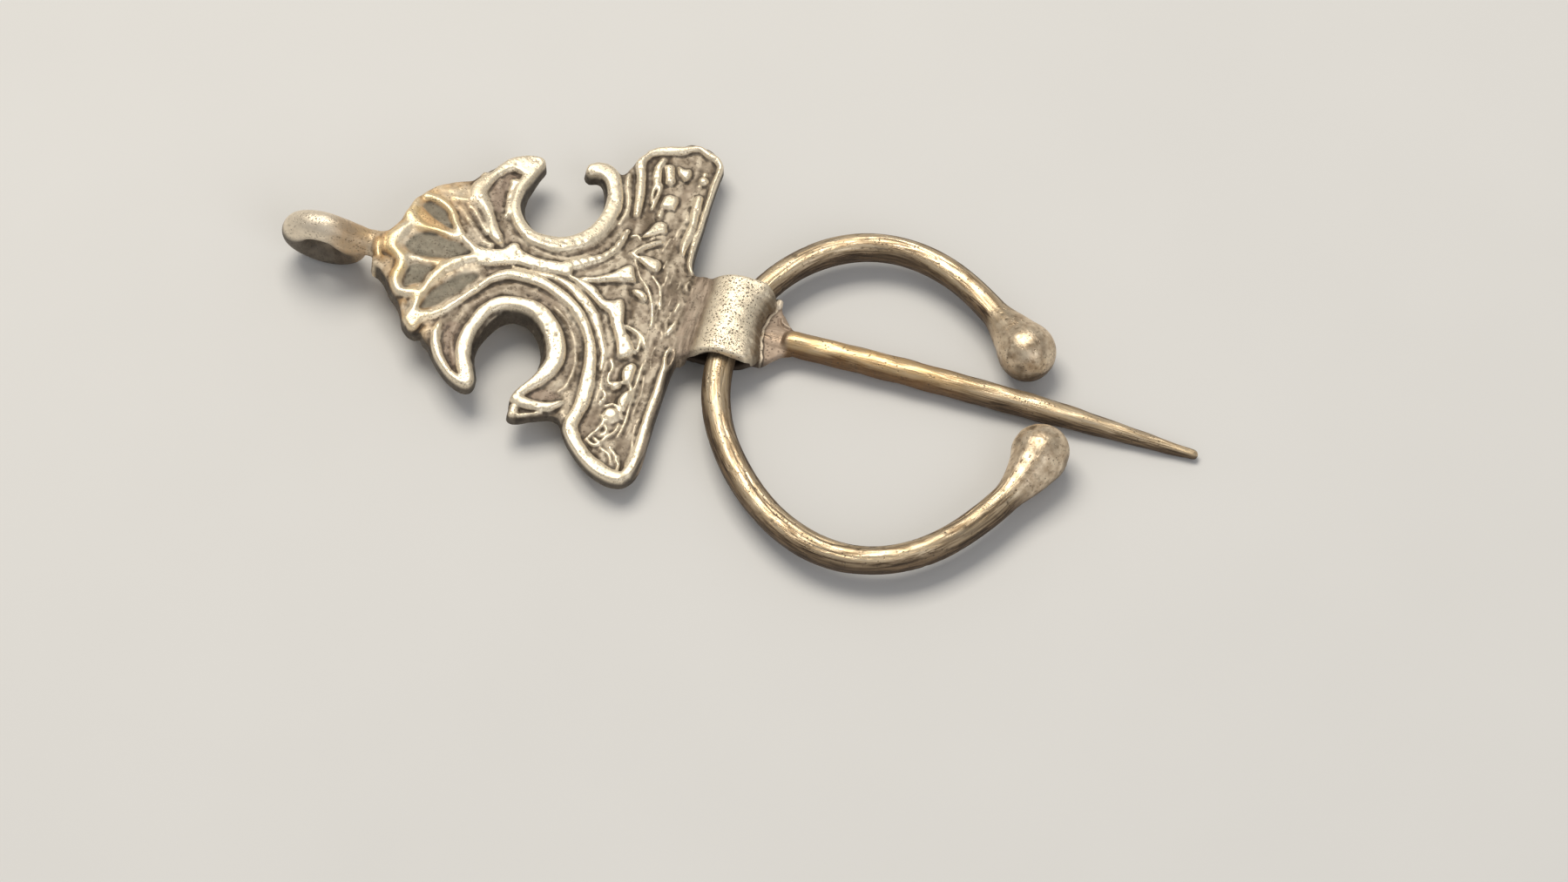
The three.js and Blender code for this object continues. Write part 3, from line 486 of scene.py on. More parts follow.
def sample(A, x, y):
    u = np.clip((x - X0) / G, 0, NX - 1.001)
    v = np.clip((y - Y0) / G, 0, NY - 1.001)
    i, j = u.astype(int), v.astype(int)
    fu, fv = u - i, v - j
    return (A[i, j] * (1 - fu) * (1 - fv) + A[i + 1, j] * fu * (1 - fv) + A[i, j + 1] * (1 - fu) * fv + A[i + 1, j + 1] * fu * fv)


def smin(a, b, k):
    return np.minimum(a, b) - np.maximum(k - np.abs(a - b), 0) ** 2 / (4 * k)


# ------------------------------------------------------------------ loop, neck, strap
LOOP_C = np.array(head_from_work(2.93, -0.54, 1.90 * math.cos(math.radians(13)) + 0.92))
LEAN = math.radians(13)
STRAP = [(26.0, .75), (27.1, .82), (27.9, 1.25), (28.6, 1.9), (29.5, 2.32), (30.4, 2.34), (31.05, 2.06), (31.42, 1.5), (31.52, 0.95)]
strap_line = spline(STRAP, 0.1)
SY0, SY1, STRAP_T = -3.05, 2.95, 0.70
SEAM_Y, SEAM_X = [-3.0, -2.1, -1.4, -0.4, 0.2, 0.8, 1.4, 1.8, 2.2, 2.8], [0.58, 0.52, 0.40, 0.13, 0.03, 0.05, 0.16, 0.28, 0.48, 0.66]
BORE_A = np.array(head_from_work(29.81, -3.05, 1.90))
BORE_B = np.array(head_from_work(30.95, 2.95, 1.90))
BORE_R = 1.20
NECK = [np.array(head_from_work(*p)) for p in ((4.35, -0.68, 3.72), (5.3, -0.64, 3.48), (6.3, -0.52, 3.3), (7.1, -0.35, 3.05))]


def line_dist(x, y, z, a, b, clamp=True):
    d = b - a
    L = d @ d
    t = ((x - a[0]) * d[0] + (y - a[1]) * d[1] + (z - a[2]) * d[2]) / L
    if clamp:
        t = np.clip(t, 0, 1)
    return np.sqrt((x - a[0] - t * d[0]) ** 2 + (y - a[1] - t * d[1]) ** 2 + (z - a[2] - t * d[2]) ** 2), t


def head_field(x, y, z):
    """Signed distance-like field of the head: plate, loop, neck, strap, less the bore."""
    h, d, dr = sample(H, x, y), sample(D, x, y), sample(DRAFT, x, y)
    side = d - dr * (h - z)
    top = (z - h)
    f = smax(top, side, 0.22)
    f = smax(f, -z, 0.16)
    # loop: a standing ring, its top leaning to -y
    lx, ly, lz = x - LOOP_C[0], y - LOOP_C[1], z - LOOP_C[2]
    c, s = math.cos(LEAN), math.sin(LEAN)
    ay, az = ly * c + lz * s, -ly * s + lz * c
    lump = 0.05 * np.sin(1.3 * lx + 0.6) * np.cos(0.9 * az) + 0.03 * np.sin(2.1 * ly + 1.7 * az)
    ring = np.hypot((np.hypot(lx, az) - 1.90), ay) - 0.94 + lump * 0.5
    # neck
    n1, t1 = line_dist(x, y, z, NECK[0], NECK[1])
    n2, t2 = line_dist(x, y, z, NECK[1], NECK[2])
    n3, t3 = line_dist(x, y, z, NECK[2], NECK[3])
    neck = smin(smin(n1 - (0.90 - 0.03 * t1), n2 - (0.87 - 0.05 * t2), 0.2), n3 - (0.82 - 0.07 * t3), 0.2)
    neck = smax(neck, -z - 0.02 - 3 * (x < 5.6), 0.1)
    f = smin(f, neck, 0.35)
    f = smin(f, ring, 0.45)
    # strap
    m = (x > 25.2)
    if m.any():
        xs, ys, zs = x[m], y[m], z[m]
        xr = xs.copy()
        lean = np.interp(ys, SEAM_Y, SEAM_X) + 0.03 * np.sin(7.0 * ys) + 0.02 * np.sin(17.0 * ys + 1)
        xs = xs - lean * ease((xs - 30.2) / 1.4)
        best = np.full(xs.shape, 1e9)
        for i in range(len(strap_line) - 1):
            ax, az_ = strap_line[i]
            dx, dz = strap_line[i + 1] - strap_line[i]
            t = np.clip(((xs - ax) * dx + (zs - az_) * dz) / (dx * dx + dz * dz), 0, 1)
            best = np.minimum(best, (xs - ax - t * dx) ** 2 + (zs - az_ - t * dz) ** 2)
        sd = np.sqrt(best) - STRAP_T / 2 + 0.10 * ease((xs - 30.9) / 0.6) + 0.018 * np.sin(5.1 * ys + 1.3 * xs) * np.sin(2.3 * xs + 0.7)
        wide = 0.10 * np.sin(1.1 * xs + 0.4)
        ends = np.maximum(ys - SY1 - wide * 0.6 + 0.28 * ease((xs - 30.5) / 1.3), SY0 - ys + wide * 0.5 + 0.95 * ease((xs - 30.8) / 1.0))
        sd = smax(sd, ends, 0.30)
        g = smin(f[m], sd, 0.35)
        bore, _ = line_dist(xr, ys, zs, BORE_A, BORE_B, clamp=False)
        snug = 0.11 * ease((ys + 0.6) / 1.2) * ease((2.5 - ys) / 0.5) * ease((xr - 30.6) / 0.5)
        g = smax(g, BORE_R - snug - bore, 0.06)
        f = f.copy()
        f[m] = g
    return f


# ------------------------------------------------------------------ surface nets
def surface_nets(F, lo, h):
    """Quads around the zero level of F (negative inside). Returns vertices and quads."""
    s = F < 0
    nx, ny, nz = F.shape
    cell = np.zeros((nx - 1, ny - 1, nz - 1), np.uint8)
    for i in (0, 1):
        for j in (0, 1):
            for k in (0, 1):
                cell += s[i:nx - 1 + i, j:ny - 1 + j, k:nz - 1 + k]
    active = (cell > 0) & (cell < 8)
    idx = np.full(active.shape, -1, np.int64)
    I, J, K = np.nonzero(active)
    idx[I, J, K] = np.arange(len(I))
    acc = np.zeros((len(I), 3))
    cnt = np.zeros(len(I))
    corners = [(0, 0, 0), (1, 0, 0), (0, 1, 0), (1, 1, 0), (0, 0, 1), (1, 0, 1), (0, 1, 1), (1, 1, 1)]
    for a in range(8):
        for ax in range(3):
            if corners[a][ax]:
                continue
            b = list(corners[a])
            b[ax] = 1
            fa = F[I + corners[a][0], J + corners[a][1], K + corners[a][2]]
            fb = F[I + b[0], J + b[1], K + b[2]]
            m = (fa < 0) != (fb < 0)
            t = np.where(m, fa / np.where(m, fa - fb, 1), 0)
            p = np.array(corners[a], float)[None, :].repeat(len(I), 0)
            p[:, ax] += t
            acc += p * m[:, None]
            cnt += m
    v = (np.stack([I, J, K], 1) + acc / cnt[:, None]) * h + np.array(lo)
    quads = []
    for ax in range(3):
        o = [(1, 2), (2, 0), (0, 1)][ax]
        sl_a = [slice(1, -1)] * 3
        sl_b = [slice(1, -1)] * 3
        sl_a[ax], sl_b[ax] = slice(0, -1), slice(1, None)
        A, B = s[tuple(sl_a)], s[tuple(sl_b)]
        P = np.stack(np.nonzero(A != B), 1)
        flip = A[P[:, 0], P[:, 1], P[:, 2]]
        base = P.copy()
        base[:, o[0]] += 1
        base[:, o[1]] += 1
        c = []
        for du, dv in ((0, 0), (1, 0), (1, 1), (0, 1)):
            q = base.copy()
            q[:, o[0]] -= 1 - du
            q[:, o[1]] -= 1 - dv
            c.append(idx[q[:, 0], q[:, 1], q[:, 2]])
        q = np.stack(c, 1)
        q = np.where(flip[:, None], q, q[:, ::-1])
        quads.append(q)
    return v, np.concatenate(quads)


def evaluate(field, lo, hi, h):
    ax = [np.arange(lo[k], hi[k] + h, h) for k in range(3)]
    out = np.empty((len(ax[0]), len(ax[1]), len(ax[2])), np.float32)
    Y, Z = np.meshgrid(ax[1], ax[2], indexing="ij")
    for i0 in range(0, len(ax[0]), 24):
        xs = ax[0][i0:i0 + 24]
        X = np.broadcast_to(xs[:, None, None], (len(xs),) + Y.shape)
        out[i0:i0 + 24] = field(np.ascontiguousarray(X), np.broadcast_to(Y, X.shape).copy(), np.broadcast_to(Z, X.shape).copy())
    return out


def newton(field, v, h, rounds=2):
    e = 0.02
    for _ in range(rounds):
        f = field(v[:, 0], v[:, 1], v[:, 2])
        g = np.stack([field(v[:, 0] + e * (k == 0), v[:, 1] + e * (k == 1), v[:, 2] + e * (k == 2)) -
                      field(v[:, 0] - e * (k == 0), v[:, 1] - e * (k == 1), v[:, 2] - e * (k == 2)) for k in range(3)], 1) / (2 * e)
        L = (g ** 2).sum(1) + 0.05
        step = np.clip(f[:, None] * g / L[:, None], -0.35 * h, 0.35 * h)
        v = v - step
    return v


def mesh_object(name, verts, faces, smooth=True):
    me = bpy.data.meshes.new(name)
    nv, nf = len(verts), len(faces)
    k = faces.shape[1]
    me.vertices.add(nv)
    me.vertices.foreach_set("co", np.asarray(verts, np.float32).ravel())
    me.loops.add(nf * k)
    me.loops.foreach_set("vertex_index", faces.astype(np.int32).ravel())
    me.polygons.add(nf)
    me.polygons.foreach_set("loop_start", (np.arange(nf) * k).astype(np.int32))
    me.polygons.foreach_set("loop_total", np.full(nf, k, np.int32))
    me.update(calc_edges=True)
    me.validate()
    if smooth:
        me.polygons.foreach_set("use_smooth", np.ones(len(me.polygons), bool))
    ob = bpy.data.objects.new(name, me)
    bpy.context.scene.collection.objects.link(ob)
    return ob


def coords(ob):
    co = np.zeros(len(ob.data.vertices) * 3, np.float32)
    ob.data.vertices.foreach_get("co", co)
    return co.reshape(-1, 3).astype(float)


def decimate(ob, limit):
    tris = sum(len(p.vertices) - 2 for p in ob.data.polygons)
    if tris <= limit:
        return
    m = ob.modifiers.new("fewer", "DECIMATE")
    m.ratio = limit / tris
    dg = bpy.context.evaluated_depsgraph_get()
    me = bpy.data.meshes.new_from_object(ob.evaluated_get(dg))
    ob.modifiers.clear()
    old = ob.data
    ob.data = me
    bpy.data.meshes.remove(old)
    ob.data.polygons.foreach_set("use_smooth", np.ones(len(ob.data.polygons), bool))


def point_attribute(ob, name, values):
    a = ob.data.attributes.new(name, "FLOAT", "POINT")
    a.data.foreach_set("value", np.asarray(values, np.float32))


VOX = 0.10
lo, hi = (-0.35, -14.3, -2.9), (33.2, 13.9, 3.3)
F = evaluate(head_field, lo, hi, VOX)
v, q = surface_nets(F, lo, VOX)
v = newton(head_field, v, VOX)
head = mesh_object("head_casting", v, q)
decimate(head, 196000)
loc = coords(head)
hs, us = sample(H, loc[:, 0], loc[:, 1]), sample(up, loc[:, 0], loc[:, 1])
cav = sample(blur(H, 0.16) - H, loc[:, 0], loc[:, 1])
on_top = ease((loc[:, 2] - hs + 0.45) / 0.3) * (sample(D, loc[:, 0], loc[:, 1]) < 0.3) * (loc[:, 0] > 5.8)
point_attribute(head, "crest", np.clip(us / (0.45 * LOWER), 0, 1))
point_attribute(head, "cavity", cav)
point_attribute(head, "relief", on_top)
point_attribute(head, "px", loc[:, 0])
point_attribute(head, "py", loc[:, 1])
point_attribute(head, "pz", loc[:, 2])
point_attribute(head, "petal", sample(carve, loc[:, 0], loc[:, 1]))
point_attribute(head, "rosy", sample(rosy, loc[:, 0], loc[:, 1]))
point_attribute(head, "fleck", sample(fleck, loc[:, 0], loc[:, 1]))
nor = np.zeros(len(loc) * 3, np.float32)
head.data.vertices.foreach_get("normal", nor)
nor = nor.reshape(-1, 3)
on_plate = ease((loc[:, 0] - 6.4) / 0.8) * ease((27.4 - loc[:, 0]) / 0.5)
# steep walls of the plate and their depth below the crest, for the painted shade on the walls
point_attribute(head, "wall", (1 - np.clip(nor[:, 2], 0, 1)) * on_plate * (sample(D, loc[:, 0], loc[:, 1]) > -0.55))
point_attribute(head, "depth", np.clip(crest_at(loc[:, 0], loc[:, 1]) - loc[:, 2], 0, 3))
# painted shade: the inside of the bore and the lower half of the loop are darkened, the loop's partly also for tarnish
bore_d, bore_t = line_dist(loc[:, 0], loc[:, 1], loc[:, 2], BORE_A, BORE_B, clamp=False)
inward = ((BORE_A + bore_t[:, None] * (BORE_B - BORE_A) - loc) * nor).sum(1) / np.maximum(bore_d, 0.01)
in_bore = ease((BORE_R + 0.24 - bore_d) / 0.12) * ease((inward + 0.15) / 0.4)
ly, lz = loc[:, 1] - LOOP_C[1], loc[:, 2] - LOOP_C[2]
loop_up = -ly * math.sin(LEAN) + lz * math.cos(LEAN)
loop_low = ease((1.22 - loop_up) / 0.9) * ease((5.7 - loc[:, 0]) / 0.9)
point_attribute(head, "shade", np.maximum(in_bore * (loc[:, 0] > 28), loop_low))
# painted highlight: a bright line along the strap's lower end edge at the seam
point_attribute(head, "seam", ease((loc[:, 0] - 31.05) / 0.25) * ease((0.90 - loc[:, 2] + 0.05 * np.sin(9 * loc[:, 1])) / 0.10))
# painted shade on the strap's right flank, which falls into shadow near the seam
flank_x = loc[:, 0] - np.interp(loc[:, 1], SEAM_Y, SEAM_X)
point_attribute(head, "flank_shade", ease((flank_x - 31.1) / 0.42) * ease((2.35 - loc[:, 2]) / 0.5))
head.data.vertices.foreach_set("co", row_from_head(loc).astype(np.float32).ravel())
head.data.update()
print("head", len(loc), "points", sum(len(p.vertices) - 2 for p in head.data.polygons), "triangles")


# ------------------------------------------------------------------ pin and its foot
PIN_LINE = np.array([head_from_work(*p) for p in [(33.35, .19, 1.25), (41.0, -.02, 1.13), (50.5, -.42, .86), (60.95, -1.02, .38)]])
pin_q = spline(PIN_LINE, 0.25)
pin_s = np.concatenate([[0], np.cumsum(np.linalg.norm(np.diff(pin_q, axis=0), axis=1))])
PIN_LEN = pin_s[-1]
FOOT = [(27.5, -.36), (29.2, -.36), (30.4, -.38), (31.0, -.24), (31.4, .12), (31.8, .42), (32.5, .52), (33.2, .52), (33.9, .52)]
foot_line = spline(FOOT, 0.1)
FOOT_PLAN = [(27.4, -2.4), (29.5, -2.35), (31.2, -2.15), (31.9, -2.1), (32.35, -2.15), (32.72, -1.85), (33.08, -1.42), (33.45, -1.02), (34.2, -0.66),
             (34.3, 0.84), (33.85, 1.02), (33.5, 1.3), (33.12, 1.8), (32.82, 2.12), (32.66, 2.45), (32.6, 3.0), (32.1, 3.1), (31.6, 2.62),
             (29.5, 2.55), (27.4, 2.5)]
foot_plan = np.array(FOOT_PLAN)
PX0, PX1, PY0, PY1 = 26.5, 35.5, -3.6, 3.6
pgx, pgy = np.arange(PX0, PX1 + G / 2, G), np.arange(PY0, PY1 + G / 2, G)
PGX, PGY = np.meshgrid(pgx, pgy, indexing="ij")
FD = seg_distance(PGX, PGY, np.vstack([foot_plan, foot_plan[:1]]))
FD = np.where(inside(PGX, PGY, foot_plan), -FD, FD) + 0.03 * value_noise(0.5, 41, xs=pgx, ys=pgy)
FH = 0.022 * value_noise(0.7, 42, xs=pgx, ys=pgy) + 0.012 * value_noise(0.25, 43, xs=pgx, ys=pgy)
# the far corner is turned up into a small lip, and a curved mark is struck beside it
FH = FH + 0.28 * np.exp(-((PGX - 32.36) / 0.24) ** 4 - ((PGY - 2.68) / 0.38) ** 4) - 0.14 * np.exp(-((PGX - 32.3) / 0.07) ** 2 - ((PGY - 2.68) / 0.2) ** 2)
mark = seg_distance(PGX, PGY, spline([(32.72, 1.62), (32.8, 1.32), (33.05, 1.12), (33.45, 1.0)], 0.1))
mark2 = seg_distance(PGX, PGY, spline([(32.86, 1.62), (32.95, 1.42), (33.2, 1.26), (33.5, 1.14)], 0.1))
dash = seg_distance(PGX, PGY, spline([(31.95, 0.16), (32.2, 0.10), (32.45, 0.02)], 0.1))
FH = FH - 0.12 * np.exp(-(mark / 0.09) ** 2) + 0.10 * np.exp(-(mark2 / 0.10) ** 2) + 0.07 * np.exp(-(dash / 0.08) ** 2)


def sample_foot(A, x, y):
    u = np.clip((x - PX0) / G, 0, len(pgx) - 1.001)
    v = np.clip((y - PY0) / G, 0, len(pgy) - 1.001)
    i, j = u.astype(int), v.astype(int)
    fu, fv = u - i, v - j
    return (A[i, j] * (1 - fu) * (1 - fv) + A[i + 1, j] * fu * (1 - fv) + A[i, j + 1] * (1 - fu) * fv + A[i + 1, j + 1] * fu * fv)


PIN_R, PIN_TIP = 0.82, 0.30


def pin_radius(u):
    r = np.where(u < 0.62, PIN_R * (1 + 0.03 * np.sin(np.pi * u / 0.62)), PIN_R + (PIN_TIP - PIN_R) * (np.clip(u - 0.62, 0, 1) / 0.38) ** 1.15)
    return r * (0.84 + 0.16 * ease(u / 0.03))


pin_cuts = np.random.RandomState(8)
PIN_CUTS = [(pin_cuts.uniform(-math.pi, 0.4), pin_cuts.uniform(0, 0.7), pin_cuts.uniform(0.08, 0.35), pin_cuts.uniform(-0.4, 0.4),
             pin_cuts.uniform(0.05, 0.11), pin_cuts.uniform(0.02, 0.055)) for _ in range(26)]


def pin_field(x, y, z):
    # nearest place on the pin's line: it runs along x, so x gives it closely
    qx, qy, qz = pin_q[:, 0], pin_q[:, 1], pin_q[:, 2]
    xc = np.clip(x, qx[0], qx[-1])
    cy, cz = np.interp(xc, qx, qy), np.interp(xc, qx, qz)
    u = np.interp(xc, qx, pin_s) / PIN_LEN
    dy, dz = y - cy, z - cz
    rad = np.sqrt(dy * dy + dz * dz)
    ang = np.arctan2(dz, dy)
    r = pin_radius(u)
    bumps = 0.020 * np.sin(5 * ang + 1.1 * xc) * np.sin(0.55 * xc + 1) + 0.016 * np.sin(3 * ang - 2.3 * xc + 1)
    for a0, u0, du, tw, w, dp in PIN_CUTS:
        m = ease((u - u0) / 0.03) * ease((u0 + du - u) / 0.03)
        da = (ang - a0 - tw * (u - u0) * 6 - 0.12 * np.sin(1.7 * xc + 9 * a0) + math.pi) % (2 * math.pi) - math.pi
        bumps = bumps - dp * m * np.exp(-(da * r / w) ** 2)
    tube = rad - r - bumps
    over = np.maximum(np.maximum(qx[0] - x, x - qx[-1]), 0)
    end = np.maximum(qx[0] - x, x - qx[-1])
    tube = smax(tube, end, 0.35)
    m = x < 35.4
    f = tube
    if m.any():
        xs, ys, zs = x[m], y[m], z[m]
        best = np.full(xs.shape, 1e9)
        for i in range(len(foot_line) - 1):
            ax, az = foot_line[i]
            dx, dzz = foot_line[i + 1] - foot_line[i]
            t = np.clip(((xs - ax) * dx + (zs - az) * dzz) / (dx * dx + dzz * dzz), 0, 1)
            best = np.minimum(best, (xs - ax - t * dx) ** 2 + (zs - az - t * dzz) ** 2)
        sd = np.sqrt(best) - 0.25 - sample_foot(FH, xs, ys)
        sd = smax(sd, sample_foot(FD, xs, ys), 0.18)
        g = smin(sd, tube[m], 0.24)
        bore, _ = line_dist(xs, ys, zs, BORE_A, BORE_B, clamp=False)
        g = smax(g, BORE_R - bore, 0.08)
        f = tube.copy()
        f[m] = g
    return f


PV = 0.085
lo, hi = (27.0, -3.1, -1.3), (61.4, 3.1, 2.5)
F = evaluate(pin_field, lo, hi, PV)
v, q = surface_nets(F, lo, PV)
v = newton(pin_field, v, PV)
pin = mesh_object("pin_and_foot", v, q)
loc = coords(pin)
u = np.interp(loc[:, 0], pin_q[:, 0], pin_s)
ang = np.arctan2(loc[:, 2] - np.interp(loc[:, 0], pin_q[:, 0], pin_q[:, 2]), loc[:, 1] - np.interp(loc[:, 0], pin_q[:, 0], pin_q[:, 1]))
point_attribute(pin, "along", u)
point_attribute(pin, "ca", np.cos(ang))
point_attribute(pin, "sa", np.sin(ang))
point_attribute(pin, "flat", ease((33.9 - loc[:, 0]) / 0.5))
point_attribute(pin, "px", loc[:, 0])
bore_d, _ = line_dist(loc[:, 0], loc[:, 1], loc[:, 2], BORE_A, BORE_B, clamp=False)
seam_at = 31.52 + 0.39 + np.interp(loc[:, 1], SEAM_Y, SEAM_X) + 0.03 * np.sin(7.0 * loc[:, 1])
# painted shade: the foot is darkened inside the bore, under the strap and along its near edge
hidden = np.maximum(ease((BORE_R + 0.2 - bore_d) / 0.1), ease((31.5 - loc[:, 0]) / 0.2))
hidden = np.maximum(hidden, 0.9 * ease((-1.45 - loc[:, 1]) / 0.7) * (loc[:, 0] < 33.2))
point_attribute(pin, "shade", hidden)
point_attribute(pin, "seam", np.clip(loc[:, 0] - seam_at, -1, 1))
point_attribute(pin, "py", loc[:, 1])
lip = sample_foot(FH, loc[:, 0], loc[:, 1])
point_attribute(pin, "lip", ease((lip - 0.05) / 0.06) * (loc[:, 2] > 0.3) * (loc[:, 0] < 34.0))
# the flat foot is darker towards its lower part: painted shade
point_attribute(pin, "under", ease((0.30 - loc[:, 2]) / 0.4))
pin.data.vertices.foreach_set("co", row_from_head(loc).astype(np.float32).ravel())
pin.data.update()
print("pin", len(loc), "points", sum(len(p.vertices) - 2 for p in pin.data.polygons), "triangles")

# ------------------------------------------------------------------ hoop
WIRE_R, BALL_R, HOOP_Z = 0.92, 1.88, 1.90


def hoop_at(deg):
    a = np.radians(deg)
    r = 10.99 + sum(k * np.cos(np.radians(n * deg - ph)) for n, k, ph in ((1, .32, 170), (2, .69, -131), (3, .32, 31.5), (4, .27, 41.4)))
    return np.stack([40.8 + r * np.cos(a), -3.3 + r * np.sin(a)], 1)


dense = hoop_at(np.linspace(38, 354.4, 2400))
ds = np.concatenate([[0], np.cumsum(np.linalg.norm(np.diff(dense, axis=0), axis=1))])
L = ds[-1]
END = BALL_R
body_s = np.arange(0.0, L, 0.115)
cap = END * np.sin(np.linspace(0, math.pi / 2, 26))
stations = np.unique(np.round(np.concatenate([-cap, body_s, L + cap]), 5))


def on_hoop(s):
    c = np.clip(s, 0, L)
    p = np.stack([np.interp(c, ds, dense[:, 0]), np.interp(c, ds, dense[:, 1])], 1)
    e = 0.02
    a = np.stack([np.interp(np.clip(c - e, 0, L), ds, dense[:, k]) for k in (0, 1)], 1)
    b = np.stack([np.interp(np.clip(c + e, 0, L), ds, dense[:, k]) for k in (0, 1)], 1)
    t = (b - a) / np.linalg.norm(b - a, axis=1)[:, None]
    return p + (s - c)[:, None] * t, t


def wire_radius(s):
    """Wire, swelling into a worked ball at each end; s runs from -BALL_R to L + BALL_R."""
    out = []
    for d, neck, egg in ((s, 3.8, 0.5), (L - s, 4.2, 0.6)):
        sphere = np.sqrt(np.clip(BALL_R ** 2 - d ** 2, 0, None))
        cone = WIRE_R + (BALL_R * (0.90 + 0.05 * egg) - WIRE_R) * (1 - ease(d / neck)) ** 0.9
        cone = np.where(d < 0, 0, cone)
        out.append(smax(sphere, cone, 0.25) * (d >= 0) + sphere * (d < 0))
    return np.where(s < 0, out[0], np.where(s > L, out[1], np.maximum(*out)))


AROUND = 96
th = np.arange(AROUND) / AROUND * 2 * math.pi
c2, t2 = on_hoop(stations)
n2 = np.stack([t2[:, 1], -t2[:, 0]], 1)                    # points away from the hoop's middle or towards it
R0 = wire_radius(stations)
S, T = np.meshgrid(stations, th, indexing="ij")
rs = np.random.RandomState(17)
bump = 0.012 * np.sin(2 * T + 0.5 * S) + 0.014 * np.sin(3 * T - 0.33 * S + 1.0) + 0.010 * np.sin(0.9 * S + 1.3 * np.sin(T))
wire_only = ease((S - 2.6) / 1.5) * ease((L - 3.4 - S) / 1.5)
for k in range(120):                                       # drawing lines and seams that run along the wire
    a0 = rs.uniform(0, 2 * math.pi)
    s0, ln = rs.uniform(-2, L), rs.uniform(2.5, 16)
    wig = rs.uniform(-0.05, 0.05)
    w, dp = rs.uniform(0.04, 0.10), rs.uniform(0.010, 0.045)
    m = ease((S - s0) / 0.8) * ease((s0 + ln - S) / 0.8)
    da = (T - a0 - wig * (S - s0) + 0.06 * np.sin(1.1 * S + 5 * a0) + math.pi) % (2 * math.pi) - math.pi
    bump -= dp * m * wire_only * np.exp(-(da * WIRE_R / w) ** 2)
# hammer marks and small lumps on the balls
px = c2[:, None, 0] + n2[:, None, 0] * np.cos(T) * R0[:, None]
py = c2[:, None, 1] + n2[:, None, 1] * np.cos(T) * R0[:, None]
pz = HOOP_Z + np.sin(T) * R0[:, None]
ball_w = 1 - wire_only
for k in range(70):
    end = rs.randint(2)
    cc = dense[0] if end == 0 else dense[-1]
    d = rs.normal(size=3)
    d /= np.linalg.norm(d)
    c3 = np.array([cc[0], cc[1], HOOP_Z]) + d * BALL_R
    dd = np.sqrt((px - c3[0]) ** 2 + (py - c3[1]) ** 2 + (pz - c3[2]) ** 2)
    w = rs.uniform(0.25, 0.7)
    bump += rs.uniform(-0.05, 0.025) * np.exp(-(dd / w) ** 2) * ball_w
for k in range(420):                                       # small pits
    i, j = rs.randint(len(stations)), rs.randint(AROUND)
    c3 = np.array([px[i, j], py[i, j], pz[i, j]])
    i0, i1 = max(0, i - 12), min(len(stations), i + 13)
    dd = np.sqrt((px[i0:i1] - c3[0]) ** 2 + (py[i0:i1] - c3[1]) ** 2 + (pz[i0:i1] - c3[2]) ** 2)
    bump[i0:i1] -= rs.uniform(0.015, 0.05) * np.exp(-(dd / rs.uniform(0.06, 0.14)) ** 2)
fade = np.clip(R0 / 0.6, 0, 1)[:, None]
R = R0[:, None] + bump * fade
verts = np.stack([c2[:, None, 0] + n2[:, None, 0] * np.cos(T) * R, c2[:, None, 1] + n2[:, None, 1] * np.cos(T) * R, HOOP_Z + np.sin(T) * R], 2)
verts = verts[1:-1]
m = len(verts)
ring = np.arange(m * AROUND).reshape(m, AROUND)
a, b = ring[:-1], ring[1:]
quads = np.stack([a, np.roll(a, -1, 1), np.roll(b, -1, 1), b], 2).reshape(-1, 4)
first = np.array([*(c2[0]), HOOP_Z])
last = np.array([*(c2[-1]), HOOP_Z])
vv = np.vstack([verts.reshape(-1, 3), first, last])
i0, i1 = len(vv) - 2, len(vv) - 1
# caps as quads around the pole: two ring edges each
fan = []
for k in range(0, AROUND, 2):
    fan.append([i0, ring[0, (k + 2) % AROUND], ring[0, k + 1], ring[0, k]])
    fan.append([i1, ring[-1, k], ring[-1, k + 1], ring[-1, (k + 2) % AROUND]])
faces = np.vstack([quads, np.array(fan)])
hoop = mesh_object("hoop_wire", vv, faces)
ss = np.append(np.repeat(stations[1:-1], AROUND), [stations[0], stations[-1]])
tt = np.append(np.tile(th, m), [0, 0])
point_attribute(hoop, "along", ss)
point_attribute(hoop, "ca", np.cos(tt))
point_attribute(hoop, "sa", np.sin(tt))
point_attribute(hoop, "ball", 1 - ease((ss - 1.6) / 2.0) * ease((L - 2.2 - ss) / 2.4))
bb = np.append(bump[1:-1].ravel(), [0, 0])
point_attribute(hoop, "dent", bb)
co = (vv + SHIFT) * 0.001
hoop.data.vertices.foreach_set("co", co.astype(np.float32).ravel())
hoop.data.update()
print("hoop", len(vv), "points", sum(len(p.vertices) - 2 for p in hoop.data.polygons), "triangles")


